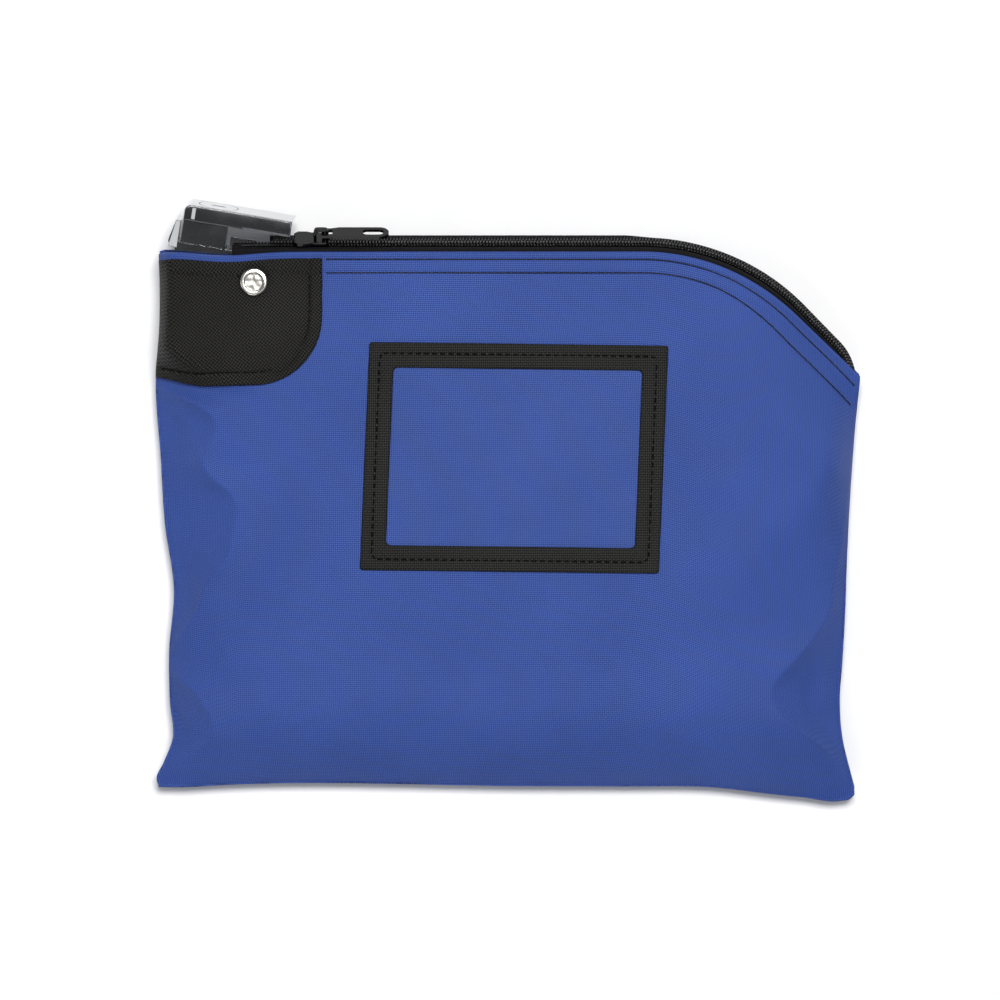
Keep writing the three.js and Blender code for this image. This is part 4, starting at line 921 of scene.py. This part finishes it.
stitch_ring = np.concatenate([stitch_ring, stitch_ring[:1]])
points, faces = stitches(stitch_ring, 3.2, 0.7, WEBBING_THICK - 0.35, 0.6)
piece("window_frame_stitching", points, faces, black_thread)

# %% The film
FILM_LIP, FILM_LIFT, FILM_THICK = 1.5, 0.5, 0.25
film_x, film_y = np.meshgrid(np.linspace(-0.5, 0.5, 50), np.linspace(-0.5, 0.5, 36))
film_plan = placed(np.stack([film_x, film_y], -1) * (WINDOW_SIZE - 2 * WEBBING + 2 * FILM_LIP))
film_top = np.array([[drop(*spot)[0] + (0, 0, FILM_LIFT) for spot in row] for row in film_plan])
for _ in range(6):  # the film is stiffer than the cloth, so it bridges small hollows
    z = film_top[..., 2]
    z[1:-1, 1:-1] = (z[:-2, 1:-1] + z[2:, 1:-1] + z[1:-1, :-2] + z[1:-1, 2:]) / 4
points, faces = sheet_between(film_top, film_top - (0, 0, FILM_THICK))
piece("window_film_vinyl", points, faces, vinyl_film, replaces=["window_film"])

# %% [markdown]
# ## The zipper
# Each side is a woven tape with a nylon filament wound and sewn along its edge. The two coils lock
# into each other, half a pitch apart. They are wound here turn by turn, because light on a real
# coil runs from tooth to tooth, and a bumped strip never shows that.

# %% Tapes
COIL_PITCH, FILAMENT = 1.25, 0.66
front_start = box_mm("zipper_coil_front")[0][0]
back_start = box_mm("zipper_coil_back")[0][0]
PROFILE = 15  # points across a tape


def tape(start_x, profile, thickness):
    """Both faces of a strip along the mouth, whose middle runs through a profile's points."""
    line = mouth(start_x, 1.2)
    middle = np.stack([profile(line, k) for k in range(PROFILE)], 1)
    return offset(middle, thickness / 2), offset(middle, -thickness / 2)


# Places across the chain and off its face. Each tape starts under its coil.
UNDER_COIL = [(0.35, -0.95), (1.1, -0.95), (2.0, -0.95), (2.7, -0.85), (3.1, -0.6)]
UP_THE_WALL = [(3.5, -0.3), (3.9, -0.1), (4.4, 0), (4.8, 0), (5.2, 0), (5.5, -0.05)]


def front_profile(line, k):
    """Under the coil, then up the mouth's wall, then in under the hem."""
    if k < 11:
        across, lift = (UNDER_COIL + UP_THE_WALL)[k]
        reach = across if across < 3.5 else 3.5 + (across - 3.5) * line["share"] ** 2
        return on_chain(line, -reach, lift)
    inset = (k - 11) * 0.9
    return beside(line, hem_out * line["share"] - inset, hem_up * line["share"] - 1.5 + 0.05 * (k - 11))


def back_profile(line, k):
    """Under the coil, then down over the mouth's back wall to the back hem."""
    bend = mix(5.2, 3.6, smooth((line["x"] - 46) / 12))
    if k < 6:
        return on_chain(line, *(UNDER_COIL + [(3.4, -0.3)])[k])
    if k < 8:
        return on_chain(line, mix(3.5, bend, (k - 5) / 2), 0)
    start = on_chain(line, bend, 0)
    hem = beside(line, BACK_HEM_OUT * line["share"] + 0.3, (BACK_HEM_LEVEL - chain_level) * line["share"])
    return mix(start, hem, (k - 7) / (PROFILE - 8))


for side, start, profile in (("front", front_start - 3, front_profile),
                             ("back", back_start, back_profile)):
    top, low = tape(start, profile, 0.5)
    points, faces = sheet_between(top, low)
    piece(f"zipper_tape_{side}_woven", points, faces, tape_cloth, replaces=[f"zipper_tape_{side}"],
          marks=flat_marks(top))

# %% Coils
CHAIN_STOP = 4.5  # the coils end that far before the mouth's line does


def wound(start_x, side, phase):
    """A coil's filament: loops that lie flat across half the chain."""
    line = mouth(start_x, 0.2)
    usable = line["run"][-1] - CHAIN_STOP
    turns = int((usable - phase) / COIL_PITCH)
    angle = np.arange(turns * 10 + 1) * 2 * math.pi / 10
    run = phase + angle / (2 * math.pi) * COIL_PITCH
    wide = np.sign(np.cos(angle)) * np.abs(np.cos(angle)) ** 0.7
    across = side * (1.32 - 1.42 * wide)
    lift = 0.56 * np.sign(np.sin(angle)) * np.abs(np.sin(angle)) ** 0.6
    there = {k: np.interp(run, line["run"], v) for k, v in line.items()}
    return tube(on_chain(there, across, lift), FILAMENT / 2, 6)


half_pitch_on = (front_start - back_start) % COIL_PITCH + COIL_PITCH / 2
for name, start, side, phase in (("front", front_start, -1, 0.0), ("back", back_start, 1, half_pitch_on)):
    points, faces = wound(start, side, phase)
    piece(f"zipper_coil_{name}_wound", points, faces, coil_nylon, replaces=[f"zipper_coil_{name}"])

# %% Thread that holds the coils
parts = []
for side, start in ((-1, front_start), (1, back_start)):
    line = mouth(start, COIL_PITCH / 6)
    keep = line["run"] < line["run"][-1] - CHAIN_STOP
    line = {k: v[keep] for k, v in line.items()}
    lift = 0.9 + 0.12 * np.cos(line["run"] * 2 * math.pi / COIL_PITCH)
    parts.append(tube(on_chain(line, side * 1.9, lift), 0.11, 5))
points, faces = gather(parts)
piece("zipper_coil_thread", points, faces, black_thread)

# %% [markdown]
# ## The rivet
# The rivet is set from outside: its rim is rolled and polished, and its middle is sunk and marked by
# the tool that spread it. It is a lathe profile of radii and heights, turned with small uneven marks
# in the sunk middle.

# %% The front rivet
rivet_radius = (rivet_high[0] - rivet_low[0]) / 2
RIVET_PROFILE = [(0.0, 0.62), (0.5, 0.6), (1.1, 0.6), (1.7, 0.6), (2.3, 0.6), (2.9, 0.6), (3.4, 0.6),
                 (3.7, 0.66), (3.8, 0.98), (3.95, 1.1), (4.2, 1.1), (4.75, 1.03), (5.15, 0.96),
                 (5.33, 0.75), (5.4, 0.3), (5.3, -0.2)]
profile_radius, profile_height = np.max(RIVET_PROFILE, axis=0)
rivet_seat = rivet_high[2] - profile_height
sides = 64
turn = np.linspace(0, 2 * math.pi, sides, endpoint=False)
rings = []
for radius, height in RIVET_PROFILE[1:]:
    ring_x, ring_y = radius * np.cos(turn), radius * np.sin(turn)
    marks_here = 0.16 * (radius < 3.3) * waves(ring_x, ring_y, 4, 1.9)
    rings.append(np.stack([ring_x, ring_y, height + marks_here], -1))
points = np.concatenate([[[0, 0, RIVET_PROFILE[0][1]]], *rings, [[0, 0, -0.2]]])
points[:, :2] *= rivet_radius / profile_radius
points += (rivet_middle[0], rivet_middle[1], rivet_seat)
faces = [[0, 1 + k, 1 + (k + 1) % sides] for k in range(sides)]
faces += quads(len(rings), sides, looped=True, start=1)
first = 1 + (len(rings) - 1) * sides
faces += [[len(points) - 1, first + (k + 1) % sides, first + k] for k in range(sides)]
faces = [f[::-1] if len(f) == 4 else f for f in faces]
rivet = piece("rivet_front_nickel", points, faces, nickel, replaces=["rivet_front"])
# The sunk middle, inside 3.55 mm, takes the darker, rougher nickel.
rivet.data.materials.append(darker_rougher_nickel)
for face in rivet.data.polygons:
    off_axis = np.array(face.center)[:2] / MM - rivet_middle[:2]
    face.material_index = int(np.hypot(*off_axis) < 3.55 and face.center.z / MM > rivet_seat)

# %% [markdown]
# ## Hard parts
# Lock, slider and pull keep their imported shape, because it already works as a mechanism. Cast and
# plated metal never has a knife edge, though. So each part gets modifiers: flat faces are merged
# again, every edge is rounded, and the shading is weighted by face area so that flats stay flat.

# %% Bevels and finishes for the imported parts
def dress(node, finish, width):
    """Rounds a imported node's edges by that width in millimetres and gives it a finish."""
    part = frame["nodes"][node]
    part.data.materials.clear()
    part.data.materials.append(finish)
    for name in ("custom_normal", "sharp_face", "sharp_edge"):
        if name in part.data.attributes:
            part.data.attributes.remove(part.data.attributes[name])
    part.data.shade_smooth()
    weld = part.modifiers.new("weld", "WELD")
    weld.merge_threshold = 0.004 * MM
    flat = part.modifiers.new("merge flats", "DECIMATE")
    flat.decimate_type = "DISSOLVE"
    flat.angle_limit = math.radians(0.8)
    bevel = part.modifiers.new("round edges", "BEVEL")
    bevel.width = width * MM
    bevel.segments = 3
    bevel.limit_method = "ANGLE"
    bevel.angle_limit = math.radians(28)
    bevel.use_clamp_overlap = True
    normals = part.modifiers.new("flat shading", "WEIGHTED_NORMAL")
    normals.keep_sharp = False


HARD = [
    ("lock_head", chrome, "chrome", 0.9), ("lock_housing", chrome, "chrome", 0.4),
    ("key_plug", chrome, "chrome", 0.2),
    ("slider_body", black_enamel, "black_metal", 0.7), ("slider_bail", black_enamel, "black_metal", 0.5),
    ("pull_tab", black_enamel, "black_metal", 0.45), ("rivet_back", nickel, "nickel", 0.15),
    ("zipper_end_stop", coil_nylon, "nylon_coil", 0.3), ("lock_cam", steel, "spring_steel", 0.1),
    ("latch_bolt", steel, "spring_steel", 0.15),
]
HARD += [(f"{kind}_pin_{k}", brass, "pin_brass", 0.12) for kind in ("key", "driver") for k in range(1, 6)]
for node, metal, slot, width in HARD:
    dress(node, metal, width)
print(len(HARD), "packed parts dressed")

# %% [markdown]
# The lock is die cast, and castings have drafted edges: low slopes that mirror the room's bright
# sides while the flat faces mirror its dark middle. Three such slopes are added, on the lock's ear,
# near the head's left end and along its lower edge. The joints give the lock's own directions.

# %% Sloped edges of the lock
joints = {j["name"]: j for j in frame["joints"]}
lock_up = np.array(joints["key_turn"]["axis"])
lock_front = np.array(joints["bolt_draw"]["axis"])
lock_along = np.cross(lock_up, lock_front)
plug_foot = np.array(joints["key_turn"]["pos_m"]) / MM


def slope(name, corners, body):
    """A low wedge on the lock. corners are along, up and front of the plug's axis: four of the
    foot, then the same four on the slope."""
    frame_of_lock = np.stack([lock_along, lock_up, lock_front])
    points = np.array(corners, float) @ frame_of_lock + plug_foot
    faces = [(3, 2, 1, 0), (4, 5, 6, 7), (0, 1, 5, 4), (1, 2, 6, 5), (2, 3, 7, 6), (3, 0, 4, 7)]
    made = piece(name, points, faces, chrome, body=body)
    for face in made.data.polygons:
        face.use_smooth = False
    edge = made.modifiers.new("round edges", "BEVEL")
    edge.width, edge.segments = 0.12 * MM, 2
    return made


EAR_FRONT, HEAD_FRONT = 5.8, 8.5
ear = [(-17.2, -2), (-13.5, -2), (-13.5, 8.6), (-15.3, 8.6)]
slope("lock_ear_slope", [(a, u, EAR_FRONT - 0.5) for a, u in ear]
      + [(a, u, EAR_FRONT + r) for (a, u), r in zip(ear, (0.05, 1.7, 1.7, 0.7))], "bag")
band = [(-9.6, 10.4), (-8.0, 10.4), (-8.0, 15.0), (-9.6, 15.0)]
slope("lock_head_band", [(a, u, HEAD_FRONT - 0.5) for a, u in band]
      + [(a, u, HEAD_FRONT + r) for (a, u), r in zip(band, (0.02, 0.8, 0.8, 0.02))], "head")
lip = [(11.0, 9.55), (29.2, 9.55), (29.2, 10.7), (11.0, 10.7)]
slope("lock_head_lip", [(a, u, HEAD_FRONT - 0.5) for a, u in lip]
      + [(a, u, HEAD_FRONT + r) for (a, u), r in zip(lip, (0.02, 0.02, 0.55, 0.55))], "head")

# %% [markdown]
# The return spring under the neck is a helix of wire, which gets shorter as the head goes down. It is
# wound here again from its lower end up, in the place of the imported spring.

# %% Return spring
def extent(points, axis):
    """The lowest and highest places of some points along an axis."""
    places = points @ axis
    return places.min(), places.max()


WIRE, TURNS = 0.7, 5
packed = np.array([v.co for v in frame["nodes"]["return_spring"].data.vertices]) / MM
low, high = extent(packed, lock_up)
middle = sum(sum(extent(packed, axis)) / 2 * axis for axis in (lock_along, lock_front))
coil_radius = (np.ptp(extent(packed, lock_along)) - WIRE) / 2
turn = np.linspace(0, 2 * math.pi * TURNS, TURNS * 20)
rise = np.linspace(low + WIRE / 2, high - WIRE / 2, len(turn))
helix = (middle + rise[:, None] * lock_up + coil_radius * np.cos(turn)[:, None] * lock_along
         + coil_radius * np.sin(turn)[:, None] * lock_front)
points, faces = tube(helix, WIRE / 2, 8)
wire = piece("return_spring_wire", points, faces, steel, replaces=["return_spring"])
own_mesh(wire)

# %% [markdown]
# ## Studio
# The bag lies on a pale sheet. A large soft light hangs above it, a little beyond the zipper, and
# weak ones from the left and the near side fill the shadows. The room is dim overhead, so that
# chrome has something dark to mirror, apart from a bright ring near the top, which glints in round
# metal and in the coil. The camera looks straight down.

# %% Floor
floor_finish, tree, shader = finish("matt paper sheet, white", Roughness=0.9, Specular_IOR_Level=0.2)
place = add(tree, "TexCoord").outputs["Object"]
fibre = add(tree, "TexNoise", {"Vector": place, "Scale": 60.0, "Detail": 3.0})
paper = add(tree, "Mix", {0: fibre, 6: colour("#F6F6F6"), 7: colour("#FBFBFB")}, data_type="RGBA")
tree.links.new(paper.outputs[2], shader.inputs["Base Color"])
FLOOR = 3.0  # metres from its middle to its edge
floor_mesh = bpy.data.meshes.new("paper_floor")
floor_mesh.from_pydata([(FLOOR * x, FLOOR * y, 0) for x, y in ((-1, -1), (1, -1), (1, 1), (-1, 1))],
                       [], [(0, 1, 2, 3)])
floor_mesh.materials.append(floor_finish)
floor = bpy.data.objects.new("paper_floor", floor_mesh)
floor.location.z = -0.0002
bpy.context.scene.collection.objects.link(floor)
floor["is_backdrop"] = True
print("floor", 2 * FLOOR, "m wide")

# %% Lights
def softbox(name, place, size, watts):
    """A square soft light that faces the bag."""
    lamp = bpy.data.lights.new(name, "AREA")
    lamp.shape = "RECTANGLE"
    lamp.size, lamp.size_y = size
    lamp.energy = watts
    made = bpy.data.objects.new(name, lamp)
    made.location = place
    made.rotation_euler = (-Vector(place)).to_track_quat("-Z", "Y").to_euler()
    bpy.context.scene.collection.objects.link(made)
    print(f"{name}: {watts} W")


softbox("key light", (0.25, 0.85, 2.5), (1.3, 0.9), 65)
softbox("left fill", (-2.2, -0.2, 1.4), (1.0, 1.6), 4)
softbox("front fill", (-0.6, -2.3, 1.5), (1.8, 0.8), 13)

# %% Sky
world = bpy.data.worlds.new("studio")
world.use_nodes = True
tree = world.node_tree
sky = tree.nodes["Background"]
direction = add(tree, "TexCoord").outputs["Generated"]
height = add(tree, "SeparateXYZ", {0: direction}).outputs[2]
# Each band starts and ends at a height, from 0 at the horizon to 1 overhead, and has a value at
# each: the dim upper sky, the start of the bright ring, and its end.
BANDS = [(0.7, 0.88, 0.22, 0.05), (0.945, 0.955, 0.0, 1.1), (0.978, 0.986, 1.0, 0.0)]
dim, ring, hole = (add(tree, "MapRange", {0: height, 1: start, 2: end, 3: before, 4: after},
                       interpolation_type="SMOOTHSTEP") for start, end, before, after in BANDS)
lamps = add(tree, "Math", {0: ring, 1: hole}, operation="MULTIPLY")
sky.inputs["Color"].default_value = colour("#FAFBFF")
both = add(tree, "Math", {0: dim, 1: lamps})
tree.links.new(both.outputs[0], sky.inputs["Strength"])
bpy.context.scene.world = world
bpy.context.scene.view_settings.view_transform = "Standard"
print("sky in", len(BANDS), "bands")

# %% Camera
PICTURE_WIDTH = 0.396  # what the camera takes in, at the cloth's mean level
OFF_MIDDLE = np.array([-0.002388, -0.002911])  # the camera's place beside the bag's middle
LENS, SENSOR = 180.0, 36.0
camera_data = bpy.data.cameras.new("camera")
camera_data.lens, camera_data.sensor_width = LENS, SENSOR
camera = bpy.data.objects.new("camera", camera_data)
mean_level = (SEAM_LEVEL + CROWN) / 2 * MM
bag_middle = (np.array(cad_low) + np.array(cad_high))[:2] / 2
camera.location = (*(bag_middle + OFF_MIDDLE), mean_level + PICTURE_WIDTH * LENS / SENSOR)
bpy.context.scene.collection.objects.link(camera)
bpy.context.scene.camera = camera
print("camera", round(camera.location.z, 3), "m above the floor")

# %% Size and finish
low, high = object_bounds()
print("shown box in mm:", [round(v / MM, 1) for v in [*low, *high]])
